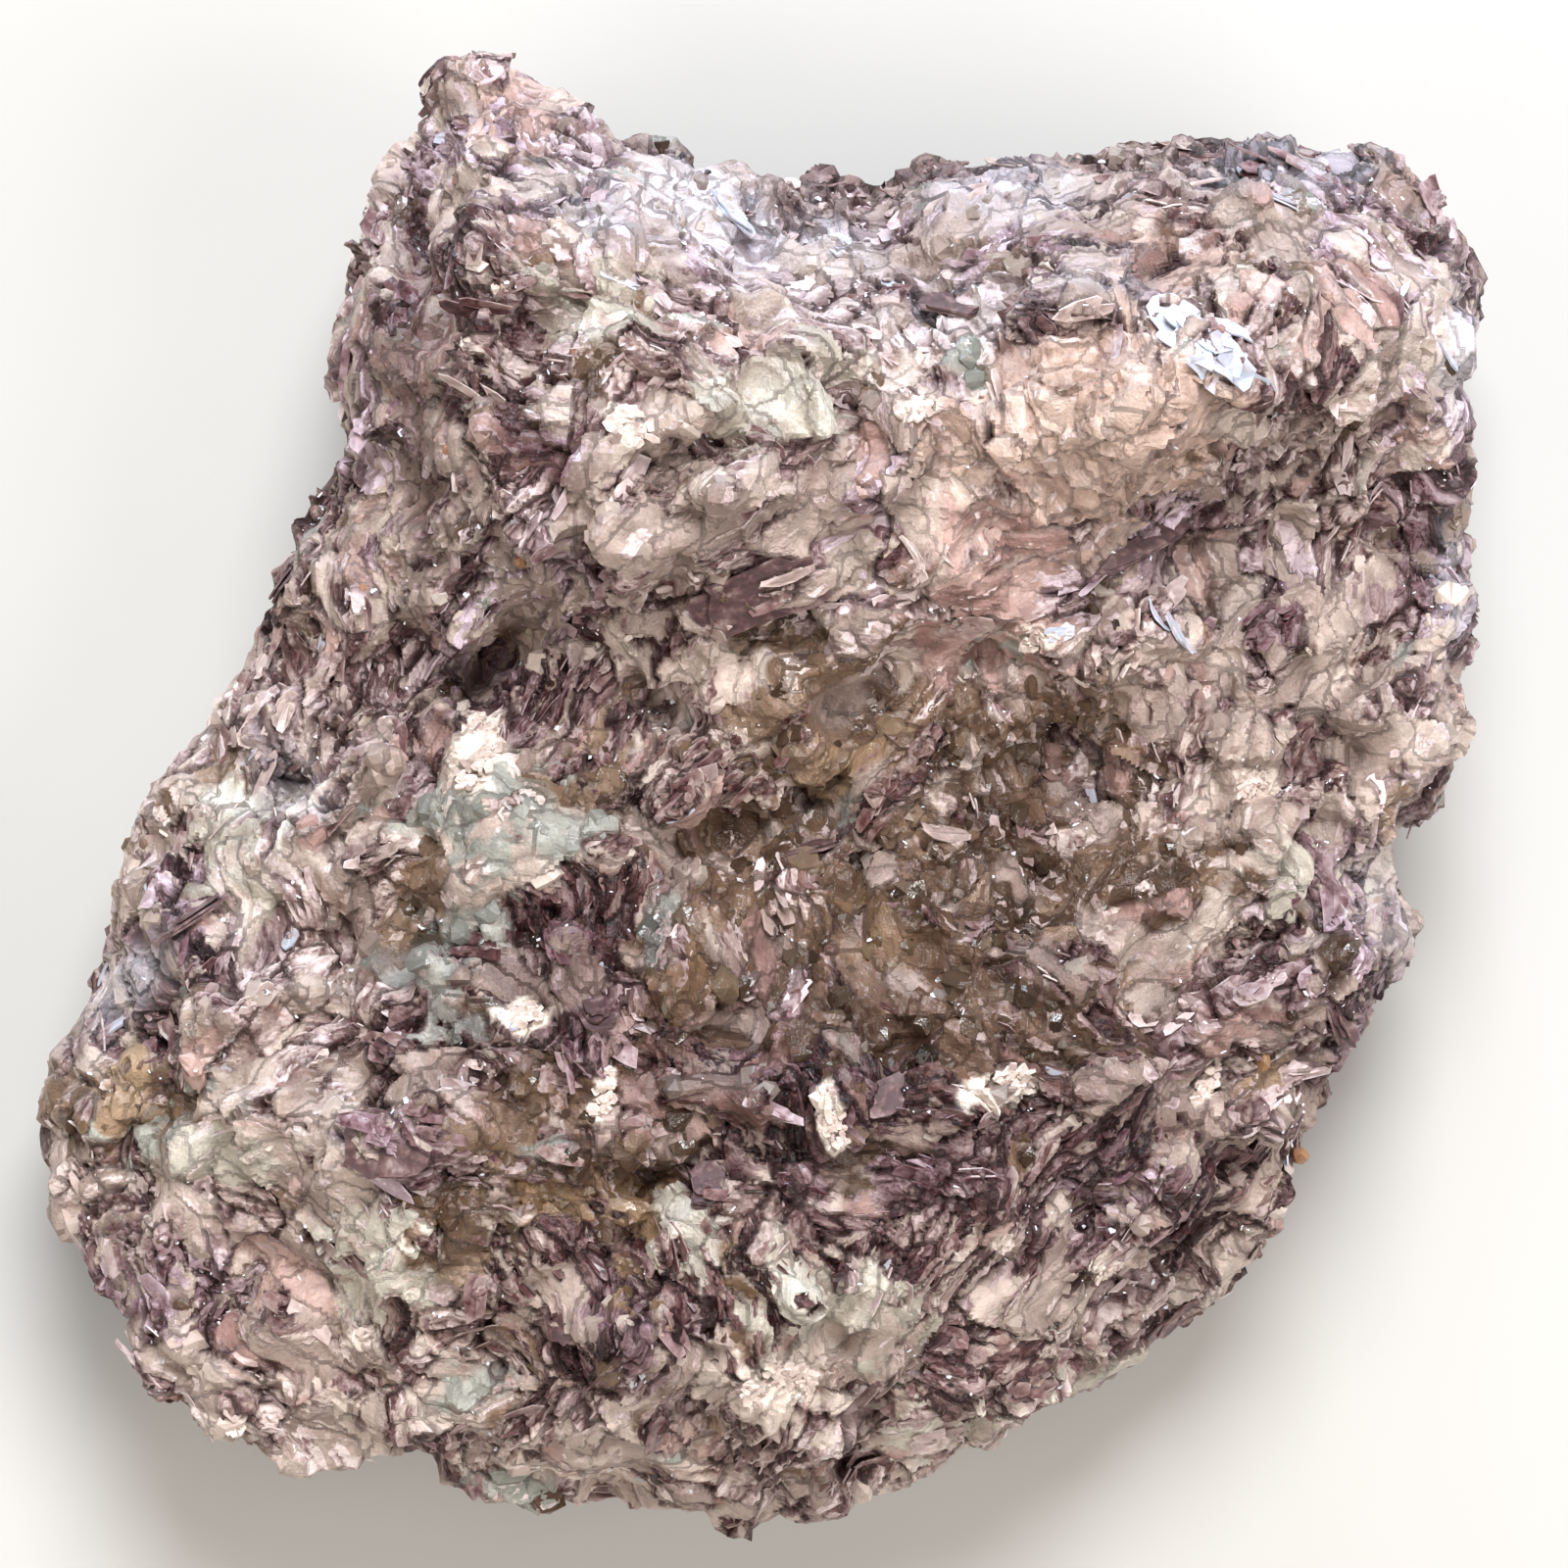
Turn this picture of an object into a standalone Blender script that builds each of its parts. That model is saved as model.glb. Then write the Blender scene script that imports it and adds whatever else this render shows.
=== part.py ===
# A hand-sized chunk of raw lepidolite rock, lying on its broken back with its broad face up.
# Metres, +Z up. X runs to the right and Y to the top of the broad face as it is seen in the photograph.
# The rock is one grown mass: a front and a back sheet meet along the outline, ledges and hollows shape
# the front, blocky cleavage breaks both, and the larger crystals are fused to what they grow from.

import math

import bmesh
import bpy
import numpy as np
from mathutils import Matrix, Vector
from mathutils.bvhtree import BVHTree

# Driving dimensions.
ROCK_WIDTH = 0.084
FRONT_HEIGHT = 0.0272
RIM_HEIGHT = 0.0120
RIM_WANDER = 0.0030
BACK_RELIEF = 0.0016
REST_LEVEL = 0.0044
DRAWN_IN = 0.0007

# Blocky breaks, from the coarse to the fine: size of a block, step between blocks, slope of their faces.
BREAKS = (
    (0.0125, 0.0011, 0.13),
    (0.0062, 0.0010, 0.24),
    (0.0036, 0.0005, 0.22),
)
BLOCK_CROWDING = 1.1
BLOCK_FLATNESS = 2.2
STEEPEST_IN_STEPS = 1.6

# Grid cells across each sheet, and how sharply each sheet turns into the side.
CELLS = 36
CELL_JITTER = 0.3
FRONT_TURN = 4.6
BACK_TURN = 7.0
RIM_KEPT = 0.35
PROFILE_STEPS = 400

# Sizes of the smooth waves in the rim, in the back and in the way that the blades run, the spread of their
# lengths, and the seed with a number for each draw that stands apart.
WAVE_SIZE = {"rim": 0.045, "back": 0.03, "strike": 0.05}
WAVE_LENGTHS = (0.7, 1.5)
SEED = 11
SALT = {"rim": 1, "back": 2, "breaks": 3, "crystals": 7, "strike": 8}

# The outline of the broad face, in pixels of the photograph, clockwise from the peak.
PHOTO_LEFT, PHOTO_RIGHT = 20, 1522
PHOTO_CENTRE = (771, 812)
OUTLINE = [
    (430, 78), (455, 52), (510, 45), (560, 57), (602, 85), (630, 116), (682, 134), (706, 160),
    (745, 165), (768, 187), (914, 191), (936, 160), (1000, 151), (1130, 132), (1192, 133), (1252, 151),
    (1440, 157), (1472, 172), (1500, 205), (1522, 300), (1499, 405), (1491, 545), (1511, 690), (1480, 822),
    (1440, 868), (1428, 908), (1454, 936), (1450, 968), (1404, 1052), (1351, 1130), (1344, 1196),
    (1303, 1290), (1248, 1352), (1140, 1411), (1088, 1450), (1002, 1499), (930, 1541), (802, 1580),
    (700, 1565), (505, 1550), (458, 1501), (398, 1510), (260, 1481), (150, 1431), (84, 1334),
    (50, 1240), (20, 1142), (27, 1098), (86, 1000), (106, 918), (127, 843), (182, 768), (263, 650),
    (272, 620), (263, 590), (271, 560), (292, 520), (346, 456), (349, 380), (337, 322), (339, 280),
    (375, 190), (414, 112),
]

# Where the broad face falls away: depth in metres, then, across and down the photograph, the pixel that
# the fall starts at, how many pixels it takes and the power that bends it.
FALLS = {
    "left flank": (0.0085, (640, -560, 1.3), (420, 300, 1.0)),
    "foot": (0.0052, None, (1220, 340, 1.4)),
    "lower right": (0.0042, (1180, 300, 1.0), (700, 250, 1.0)),
}

# Relief of the front: centre and half sizes in pixels, turn in degrees, rise in metres, sharpness.
RELIEF = {
    "shoulder bulge": ((645, 395), (235, 185), -6, 0.0068, 3.2),
    "shoulder lip": ((640, 560), (190, 50), 14, 0.0028, 2.8),
    "left column": ((380, 335), (52, 165), 4, 0.0030, 2.5),
    "column groove": ((436, 350), (26, 150), 2, -0.0050, 1.8),
    "saddle": ((835, 245), (85, 80), 0, -0.0050, 2.2),
    "set-back peak": ((520, 115), (190, 85), 0, -0.0035, 3.0),
    "peak knob": ((500, 110), (70, 60), 0, 0.0030, 2.0),
    "right shoulder": ((1170, 320), (330, 165), 0, 0.0050, 3.4),
    "quartz knob": ((1095, 430), (112, 95), 0, 0.0026, 2.4),
    "right block": ((1320, 385), (110, 75), 12, 0.0032, 3.2),
    "ledge recess": ((1275, 545), (215, 78), 14, -0.0046, 2.4),
    "right ridge": ((1478, 470), (38, 320), 1, 0.0042, 2.5),
    "ridge groove": ((1418, 500), (28, 130), 6, -0.0046, 1.8),
    "centre hollow": ((930, 775), (335, 140), -6, -0.0050, 2.2),
    "hollow pit": ((1045, 812), (62, 75), 8, -0.0040, 1.8),
    "hollow wall": ((968, 745), (28, 95), 14, 0.0026, 1.8),
    "shoulder crack": ((506, 668), (70, 26), 52, -0.0050, 1.8),
    "blue patch": ((495, 850), (115, 60), -4, 0.0018, 2.6),
    "flank step": ((235, 985), (170, 60), 48, 0.0028, 2.6),
    "flank dip": ((330, 760), (150, 34), 50, -0.0028, 1.8),
    "lower swell": ((700, 1190), (390, 160), 4, 0.0026, 2.2),
    "dark seam": ((1135, 1195), (92, 28), 44, -0.0040, 1.8),
    "lower shelf": ((840, 1330), (330, 60), 3, 0.0022, 2.8),
    "low right dip": ((1235, 1290), (140, 50), 35, -0.0026, 2.0),
    "low left block": ((240, 1370), (125, 60), -20, 0.0028, 2.8),
    "low left seam": ((235, 1312), (95, 26), 24, -0.0030, 1.8),
    "right fins": ((1385, 1010), (50, 120), -24, 0.0028, 2.4),
    "step under fins": ((1200, 1010), (120, 70), -10, -0.0018, 2.2),
    "middle step": ((860, 980), (200, 60), -16, 0.0018, 3.0),
    "foot block": ((1000, 1420), (150, 60), -22, 0.0022, 3.0),
    "left foot block": ((600, 1470), (150, 60), 6, 0.0020, 3.0),
}

# Crystals with a place in the photograph: place in pixels, half sizes and height above the rock in
# metres, turn in degrees, and how far the crystal leans to the right and to the top.
CRYSTALS = {
    "grey plate": ((785, 603), (0.0046, 0.0027), 0.0009, 8, (0.10, -0.35)),
    "silver book": ((1222, 388), (0.0041, 0.0020), 0.0010, -48, (0.15, 0.30)),
    "silver book foot": ((1190, 340), (0.0019, 0.0014), 0.0012, -40, (0.15, 0.35)),
    "blue crystal": ((462, 1010), (0.0024, 0.0030), 0.0008, 20, (-0.25, 0.10)),
    "smoky block": ((168, 1112), (0.0038, 0.0017), 0.0009, -4, (-0.25, -0.15)),
    "smoky block end": ((80, 1150), (0.0024, 0.0021), 0.0008, 10, (-0.45, -0.15)),
    "white book": ((490, 768), (0.0017, 0.0025), 0.0010, 10, (0.15, 0.25)),
    "low white book": ((795, 1401), (0.0020, 0.0018), 0.0009, -20, (0.0, -0.30)),
    "violet book": ((402, 1165), (0.0033, 0.0023), 0.0008, -12, (-0.25, -0.20)),
    "honey block": ((628, 1222), (0.0028, 0.0012), 0.0008, -6, (0.10, 0.15)),
    "saddle book": ((862, 262), (0.0024, 0.0012), 0.0009, -12, (0.0, 0.45)),
    "ridge crystal": ((1472, 362), (0.0012, 0.0020), 0.0008, 12, (0.35, 0.10)),
    "feldspar loaf": ((870, 1322), (0.0044, 0.0021), 0.0007, 4, (0.0, -0.15)),
    "low blue lens": ((515, 1525), (0.0028, 0.0015), 0.0007, -18, (0.0, -0.40)),
    "knob crystal": ((1080, 400), (0.0028, 0.0025), 0.0012, 25, (-0.3, 0.30)),
    "knob grain": ((1158, 455), (0.0023, 0.0019), 0.0010, 60, (0.3, -0.15)),
}

# Seeded books and blades all round: they stand on edge in the way that their neighbours do.
BLADES = 66
BLADE_LENGTH = (0.0026, 0.0046)
BLADE_DEPTH = (0.0020, 0.0028)
BLADE_THICKNESS = (0.0007, 0.0013)
BLADE_PROUD = (-0.0009, -0.0002)
BLADE_SPACING = 0.0062
BLADE_STRIKE = 52
STRIKE_SPREAD = 38
BLADE_LIFT = 0.2
BLADE_LEAN = (38, 68)
TRIES_PER_BLADE = 60
SEARCH_FROM = 0.3
SEARCH_UPWARD = 0.55

# A crystal's corners: how many, how uneven round it and outward, and its size at the foot and at the top.
CORNERS = 6
CORNER_TURN = 0.24
CORNER_REACH = (0.78, 1.12)
FOOT_SIZE = 0.94
TOP_SIZE = 0.88
BURIED = 0.0024
LOWEST_CRYSTAL = 0.006
OUTSIDE_ALLOWED = 0.0006
MERGED = 0.000005

PIXEL = ROCK_WIDTH / (PHOTO_RIGHT - PHOTO_LEFT)
LEPIDOLITE = (0.46, 0.36, 0.42, 1.0)
LEPIDOLITE_ROUGHNESS = 0.42


def clear_scene():
    for found in list(bpy.data.objects):
        bpy.data.objects.remove(found)


def on_plan(points):
    """Pixels of the photograph as metres on the plan, about the outline's middle."""
    points = np.asarray(points, float)
    return np.stack([points[..., 0] - PHOTO_CENTRE[0], PHOTO_CENTRE[1] - points[..., 1]], -1) * PIXEL


def outline_radius(angle):
    """How far the outline lies from the middle of the plan, at each angle."""
    edge = on_plan(OUTLINE)
    at = np.arctan2(edge[:, 1], edge[:, 0])
    order = np.argsort(at)
    return np.interp(angle, at[order], np.hypot(*edge.T)[order], period=2 * math.pi)


def waves(points, size, salt, count=14):
    """Smooth noise about 1 high: a sum of seeded plane waves of roughly this size."""
    rng = np.random.default_rng(SEED + salt)
    ways = rng.normal(size=(count, 3))
    ways /= np.linalg.norm(ways, axis=1, keepdims=True)
    lengths = size * rng.uniform(*WAVE_LENGTHS, count)
    phases = rng.uniform(0, 2 * math.pi, count)
    return np.sin(points @ (ways / lengths[:, None] * 2 * math.pi).T + phases).sum(1) / math.sqrt(count)


def rim_curve(share, turn):
    """A sheet's profile at this share of its length: (share of the radius, share of the rise)."""
    rho = np.sin(np.linspace(0, math.pi / 2, PROFILE_STEPS))
    rise = np.sqrt(1 - rho**turn)
    steps = np.hypot(np.diff(rho) * ROCK_WIDTH / 2, np.diff(rise) * (FRONT_HEIGHT - RIM_HEIGHT))
    along = np.concatenate([[0], np.cumsum(steps)])
    along /= along[-1]
    return np.interp(share, along, rho), np.interp(share, along, rise)


def share_fallen(pixels, start, span, bend):
    """From 0 where a fall starts to 1 where it ends."""
    return np.clip((pixels - start) / span, 0, 1) ** bend


def front_height(plan):
    """Height of the broad face at each point of the plan: its falls, then each lump, ledge and hollow."""
    px = plan[:, 0] / PIXEL + PHOTO_CENTRE[0]
    py = PHOTO_CENTRE[1] - plan[:, 1] / PIXEL
    height = np.full(len(plan), FRONT_HEIGHT)
    for fallen, across, down in FALLS.values():
        for pixels, way in ((px, across), (py, down)):
            if way:
                fallen = fallen * share_fallen(pixels, *way)
        height -= fallen
    for centre, half, turn, rise, sharpness in RELIEF.values():
        c, s = math.cos(math.radians(turn)), math.sin(math.radians(turn))
        right, up = px - centre[0], centre[1] - py
        across = (right * c + up * s) / half[0]
        along = (up * c - right * s) / half[1]
        height += rise / (1 + np.hypot(across, along) ** (2 * sharpness))
    return height


def sheet_angles():
    """A square grid laid over a disc in even rings, shaken a little inside: (ring, angle) of each point."""
    steps = np.linspace(-1, 1, CELLS + 1)
    a, b = np.meshgrid(steps, steps)
    rng = np.random.default_rng(SEED)
    shake = rng.uniform(-CELL_JITTER, CELL_JITTER, (2, CELLS + 1, CELLS + 1)) * 2 / CELLS
    inside = np.maximum(np.abs(a), np.abs(b)) < 1 - 1 / CELLS
    a = (a + shake[0] * inside).ravel()
    b = (b + shake[1] * inside).ravel()
    wide = np.abs(a) >= np.abs(b)
    long_way = np.where(wide, a, b)
    short_way = np.where(wide, b, a)
    slope = math.pi / 4 * short_way / np.where(long_way == 0, 1, long_way)
    angle = np.where(wide, slope, math.pi / 2 - slope) + math.pi * (long_way < 0)
    return np.abs(long_way), angle


def sheets(relief):
    """The front and back of the rock, with or without the front's relief: points and quads."""
    ring, angle = sheet_angles()
    side = CELLS + 1
    round_the_rim = np.stack([np.cos(angle), np.sin(angle), 0 * angle], 1) * ROCK_WIDTH / 2
    rim = RIM_HEIGHT + RIM_WANDER * waves(round_the_rim, WAVE_SIZE["rim"], SALT["rim"])
    made = []
    for turn, front in ((FRONT_TURN, True), (BACK_TURN, False)):
        rho, rise = rim_curve(ring, turn)
        reach = rho * (outline_radius(angle) - DRAWN_IN)
        plan = round_the_rim[:, :2] / (ROCK_WIDTH / 2) * reach[:, None]
        if front:
            far = front_height(plan) if relief else FRONT_HEIGHT
        else:
            flat = np.column_stack([plan, 0 * rho])
            far = BACK_RELIEF * waves(flat, WAVE_SIZE["back"], SALT["back"])
        made.append(np.column_stack([plan, rim + (far - rim) * rise]))
    grid = np.arange(side * side).reshape(side, side)
    inner = np.zeros((side, side), bool)
    inner[1:-1, 1:-1] = True
    back = np.where(inner, side * side + np.cumsum(inner).reshape(side, side) - 1, grid)
    front_quads = np.stack([grid[:-1, :-1], grid[:-1, 1:], grid[1:, 1:], grid[1:, :-1]], -1)
    back_quads = np.stack([back[:-1, :-1], back[1:, :-1], back[1:, 1:], back[:-1, 1:]], -1)
    points = np.concatenate([made[0], made[1][inner.ravel()]])
    return points, np.concatenate([front_quads.reshape(-1, 4), back_quads.reshape(-1, 4)])


def normals_of(points, quads):
    across = points[quads[:, 2]] - points[quads[:, 0]]
    along = points[quads[:, 3]] - points[quads[:, 1]]
    total = np.zeros_like(points)
    for corner in range(4):
        np.add.at(total, quads[:, corner], np.cross(across, along))
    return total / np.linalg.norm(total, axis=1, keepdims=True)


def breaks(points, size, step, slope, salt):
    """Blocky breaks: each point takes the sloped plane of the nearest of many flattened cells."""
    rng = np.random.default_rng(SEED + salt)
    low, high = points.min(0), points.max(0)
    count = int(np.prod(high - low) / size**3 * BLOCK_CROWDING)
    seeds = low + rng.random((count, 3)) * (high - low)
    ways = rng.normal(size=(count, 3))
    ways /= np.linalg.norm(ways, axis=1, keepdims=True)
    steps = rng.uniform(-1, 1, count) * step
    slopes = rng.normal(size=(count, 3)) * slope
    away = points[:, None] - seeds
    nearest = ((away**2).sum(2) + BLOCK_FLATNESS * (away * ways).sum(2) ** 2).argmin(1)
    lean = (away[np.arange(len(points)), nearest] * slopes[nearest]).sum(1)
    return steps[nearest] + np.clip(lean, -STEEPEST_IN_STEPS * step, STEEPEST_IN_STEPS * step)


def rock_points():
    """The sheets, broken along the normals of the plain shape. The outline keeps close to the photograph."""
    points, quads = sheets(True)
    plain, _ = sheets(False)
    out = normals_of(plain, quads)
    out[:, :2] *= RIM_KEPT
    rise = sum(breaks(points, *each, salt) for salt, each in enumerate(BREAKS, SALT["breaks"]))
    return points + out * rise[:, None], quads


def mesh_object(name, points, faces):
    """A mesh of triangles, because a quad here is seldom flat and the union needs flat faces."""
    mesh = bpy.data.meshes.new(name)
    mesh.from_pydata([tuple(p) for p in points], [], [tuple(int(i) for i in f) for f in faces])
    body = bmesh.new()
    body.from_mesh(mesh)
    bmesh.ops.triangulate(body, faces=body.faces)
    body.to_mesh(mesh)
    body.free()
    made = bpy.data.objects.new(name, mesh)
    bpy.context.scene.collection.objects.link(made)
    return made


def crystal(rng, centre, axis, along, half, height):
    """A flat crystal with uneven corners about an axis: its corners from below to above, and its faces."""
    axis = axis.normalized()
    along = (along - axis * along.dot(axis)).normalized()
    frame = Matrix((along, axis.cross(along), axis)).transposed()
    shaken = rng.uniform(-CORNER_TURN, CORNER_TURN, CORNERS)
    angles = (np.arange(CORNERS) + shaken) * 2 * math.pi / CORNERS
    reach = rng.uniform(*CORNER_REACH, CORNERS)
    points = []
    for level, size in ((-height[0], FOOT_SIZE), (height[1], TOP_SIZE)):
        for angle, far in zip(angles, reach * size):
            flat = (math.cos(angle) * half[0] * far, math.sin(angle) * half[1] * far, level)
            points.append(centre + frame @ Vector(flat))
    below = range(CORNERS)
    faces = [tuple(reversed(below)), tuple(i + CORNERS for i in below)]
    for i in below:
        j = (i + 1) % CORNERS
        faces.append((i, j, j + CORNERS, i + CORNERS))
    return points, faces


def inside_outline(points):
    plan = np.array([(p.x, p.y) for p in points])
    limit = outline_radius(np.arctan2(plan[:, 1], plan[:, 0])) + OUTSIDE_ALLOWED
    return bool((np.hypot(*plan.T) < limit).all())


def named_crystals(rng, tree):
    """The crystals that the photograph shows, each on the rock under its place."""
    made = []
    for place, half, height, turn, lean in CRYSTALS.values():
        x, y = on_plan(place)
        hit, _, _, _ = tree.ray_cast(Vector((x, y, 2 * FRONT_HEIGHT)), Vector((0, 0, -1)))
        along = Vector((math.cos(math.radians(turn)), math.sin(math.radians(turn)), 0))
        shape = crystal(rng, hit, Vector((*lean, 1)), along, half, (BURIED, height))
        made.append((hit, max(half), shape))
    return made


def blades(rng, tree, taken):
    """Books on edge all round the rock, standing in line with their neighbours and clear of the others."""
    made = []
    for _ in range(BLADES * TRIES_PER_BLADE):
        if len(made) == BLADES:
            break
        way = Vector(rng.normal(size=3) * (1, 1, SEARCH_UPWARD)).normalized()
        start = Vector((*(rng.uniform(-SEARCH_FROM, SEARCH_FROM, 2) * ROCK_WIDTH), FRONT_HEIGHT / 2))
        hit, normal, _, _ = tree.ray_cast(start, way)
        if hit is None or hit.z < LOWEST_CRYSTAL:
            continue
        if any((hit - other).length < BLADE_SPACING / 2 + reach for other, reach, _ in taken + made):
            continue
        turned = float(waves(np.array([hit]), WAVE_SIZE["strike"], SALT["strike"])[0])
        strike = math.radians(BLADE_STRIKE + STRIKE_SPREAD * turned)
        along = Vector((math.cos(strike), math.sin(strike), BLADE_LIFT))
        along = (along - normal * along.dot(normal)).normalized()
        lean = math.radians(rng.uniform(*BLADE_LEAN))
        axis = normal * math.cos(lean) + along.cross(normal) * math.sin(lean)
        half = (rng.uniform(*BLADE_LENGTH), rng.uniform(*BLADE_DEPTH))
        thickness = rng.uniform(*BLADE_THICKNESS)
        centre = hit + normal * rng.uniform(*BLADE_PROUD)
        shape = crystal(rng, centre, axis, along, half, (thickness, thickness))
        if inside_outline(shape[0]):
            made.append((hit, BLADE_SPACING / 2, shape))
    return made


def grow_crystals(rock):
    """Every crystal is one closed shape, and the union grows them all into the rock."""
    rng = np.random.default_rng(SEED + SALT["crystals"])
    tree = BVHTree.FromPolygons([v.co for v in rock.data.vertices], [p.vertices for p in rock.data.polygons])
    shapes = named_crystals(rng, tree)
    shapes += blades(rng, tree, shapes)
    points, faces = [], []
    for _, _, (its_points, its_faces) in shapes:
        faces += [tuple(i + len(points) for i in face) for face in its_faces]
        points += its_points
    crystals = mesh_object("crystal_guide", points, faces)
    crystals.hide_render = True
    crystals.display_type = "WIRE"
    union = rock.modifiers.new("grown_together", "BOOLEAN")
    union.operation = "UNION"
    union.solver = "EXACT"
    union.use_self = True
    union.object = crystals
    graph = bpy.context.evaluated_depsgraph_get()
    grown = bpy.data.meshes.new_from_object(rock.evaluated_get(graph))
    rock.modifiers.clear()
    rock.data = grown
    bpy.data.objects.remove(crystals)


def rest_and_centre(rock):
    """Breaks the back off level where it rests, and puts the origin under the middle of the rock."""
    body = bmesh.new()
    body.from_mesh(rock.data)
    low = min(v.co.z for v in body.verts)
    for v in body.verts:
        v.co.z = max(v.co.z - low - REST_LEVEL, 0.0)
    bmesh.ops.dissolve_degenerate(body, edges=body.edges, dist=MERGED)
    bmesh.ops.triangulate(body, faces=body.faces)
    xs = [v.co.x for v in body.verts]
    ys = [v.co.y for v in body.verts]
    middle = Vector(((max(xs) + min(xs)) / 2, (max(ys) + min(ys)) / 2, 0))
    bmesh.ops.translate(body, verts=body.verts, vec=-middle)
    body.to_mesh(rock.data)
    body.free()


def lepidolite_material():
    material = bpy.data.materials.new("lepidolite")
    material.use_nodes = True
    shader = material.node_tree.nodes["Principled BSDF"]
    shader.inputs["Base Color"].default_value = LEPIDOLITE
    shader.inputs["Roughness"].default_value = LEPIDOLITE_ROUGHNESS
    shader.inputs["Metallic"].default_value = 0.0
    return material


def main():
    clear_scene()
    rock = mesh_object("lepidolite_rock", *rock_points())
    grow_crystals(rock)
    rest_and_centre(rock)
    rock.data.materials.append(lepidolite_material())


main()
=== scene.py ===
# Raw lepidolite, lying on its back with the broad face up. Metres, +Z up, +Y to the top of the picture.
import math

import bmesh
import bpy
import numpy as np
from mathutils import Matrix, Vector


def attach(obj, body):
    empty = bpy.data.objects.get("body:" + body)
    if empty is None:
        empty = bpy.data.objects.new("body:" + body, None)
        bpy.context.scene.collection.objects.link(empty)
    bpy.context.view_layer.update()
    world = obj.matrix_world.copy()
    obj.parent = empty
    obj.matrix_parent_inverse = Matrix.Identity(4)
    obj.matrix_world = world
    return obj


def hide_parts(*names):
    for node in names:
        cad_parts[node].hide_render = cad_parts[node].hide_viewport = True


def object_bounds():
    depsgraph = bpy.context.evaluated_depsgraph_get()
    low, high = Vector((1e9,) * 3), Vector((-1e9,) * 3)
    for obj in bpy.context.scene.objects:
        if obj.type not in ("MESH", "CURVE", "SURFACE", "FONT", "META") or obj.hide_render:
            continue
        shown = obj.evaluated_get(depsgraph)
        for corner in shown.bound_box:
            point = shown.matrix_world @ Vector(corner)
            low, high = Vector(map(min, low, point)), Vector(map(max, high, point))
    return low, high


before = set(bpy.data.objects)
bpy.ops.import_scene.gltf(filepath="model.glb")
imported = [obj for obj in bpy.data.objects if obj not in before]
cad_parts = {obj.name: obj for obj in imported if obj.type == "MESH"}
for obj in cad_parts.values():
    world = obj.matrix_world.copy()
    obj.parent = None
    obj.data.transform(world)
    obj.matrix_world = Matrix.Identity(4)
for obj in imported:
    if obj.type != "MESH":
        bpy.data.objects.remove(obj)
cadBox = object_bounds()
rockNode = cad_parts["lepidolite_rock"]
millimetre = 0.001
print("frame loaded")

# The picture's own pixels, 1600 across, laid on the plan: one pixel in metres, and the pixel at the origin.
picture = {"pixel": 0.084 / 1502, "originX": 771.0, "originY": 812.0, "width": 1600}


def colour(red, green, blue):
    # a colour as seen on a screen, 0 to 255, as linear light: each channel to the power 2.2
    return tuple((channel / 255) ** 2.2 for channel in (red, green, blue)) + (1.0,)


def onPlan(pixels):
    # x = (column - origin column) * pixel, y = (origin row - row) * pixel
    pixels = np.asarray(pixels, float)
    across = (pixels[..., 0] - picture["originX"]) * picture["pixel"]
    up = (picture["originY"] - pixels[..., 1]) * picture["pixel"]
    return np.stack([across, up], -1)


# Seeded draws: a key and a whole number, the salt, give one draw, and each kind of draw has its own salt.
hashing = {
    "x": 73856093, "y": 19349663, "z": 83492791, "seed": 2654435761,
    "mix": 0x45D9F3B, "bits": 0xFFFFFFFF, "family": 0xFFFFF, "rounds": 3,
}


def chance(key, salt):
    # a number from 0 to 1 for each whole-number key: its bits are stirred a few times
    stirred = (np.asarray(key, np.int64) + salt * hashing["seed"]) & hashing["bits"]
    for _ in range(hashing["rounds"]):
        stirred = ((stirred ^ (stirred >> 16)) * hashing["mix"]) & hashing["bits"]
    return stirred / hashing["bits"]


def cellsOf(points, size, seed, family=0):
    # space is cut into blocks of this size with one shaken seed point each, and every place belongs to the
    # nearest of the 27 round it: gives the way from that seed and from the next one, the keys of both, and
    # how far off the plane between them is, (|other|² - |own|²) / (2 |other - own|)
    scaled = points / size
    home = np.floor(scaled).astype(np.int64)
    best, second = np.full((2, len(points)), np.inf)
    own, other = np.zeros((2,) + scaled.shape)
    ownKey, otherKey = np.zeros((2, len(points)), np.int64)
    for step in np.ndindex(3, 3, 3):
        cube = home + np.array(step) - 1
        key = cube[:, 0] * hashing["x"] ^ cube[:, 1] * hashing["y"] ^ cube[:, 2] * hashing["z"]
        key = ((key ^ family) + seed * hashing["seed"]) & hashing["bits"]
        gap = scaled - cube - np.stack([chance(key, 1), chance(key, 2), chance(key, 3)], 1)
        distance = (gap**2).sum(1)
        nearest = distance < best
        for held, former in ((second, best), (other, own), (otherKey, ownKey)):
            held[nearest] = former[nearest]
        nextNearest = ~nearest & (distance < second)
        for held, found in ((best, distance), (own, gap), (ownKey, key)):
            held[nearest] = found[nearest]
        for held, found in ((second, distance), (other, gap), (otherKey, key)):
            held[nextNearest] = found[nextNearest]
    border = (second - best) / (2 * np.linalg.norm(other - own, axis=1) + 1e-9)
    return {"own": own * size, "key": ownKey, "other": other * size, "otherKey": otherKey,
            "border": border * np.min(size)}


def familyOf(key):
    # the part of a cell's key that sets apart the smaller cells inside it
    return key & hashing["family"]


def ownShare(cells, width):
    # half on the border and whole from this width inward
    return 0.5 + 0.5 * smooth(0, width, cells["border"])


def blended(cells, width, worth):
    # what a cell is worth, running into what the next one is worth: share · own + (1 - share) · other
    share = ownShare(cells, width)
    own = worth(cells["own"], cells["key"])
    return share * own + (1 - share) * worth(cells["other"], cells["otherKey"])


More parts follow.
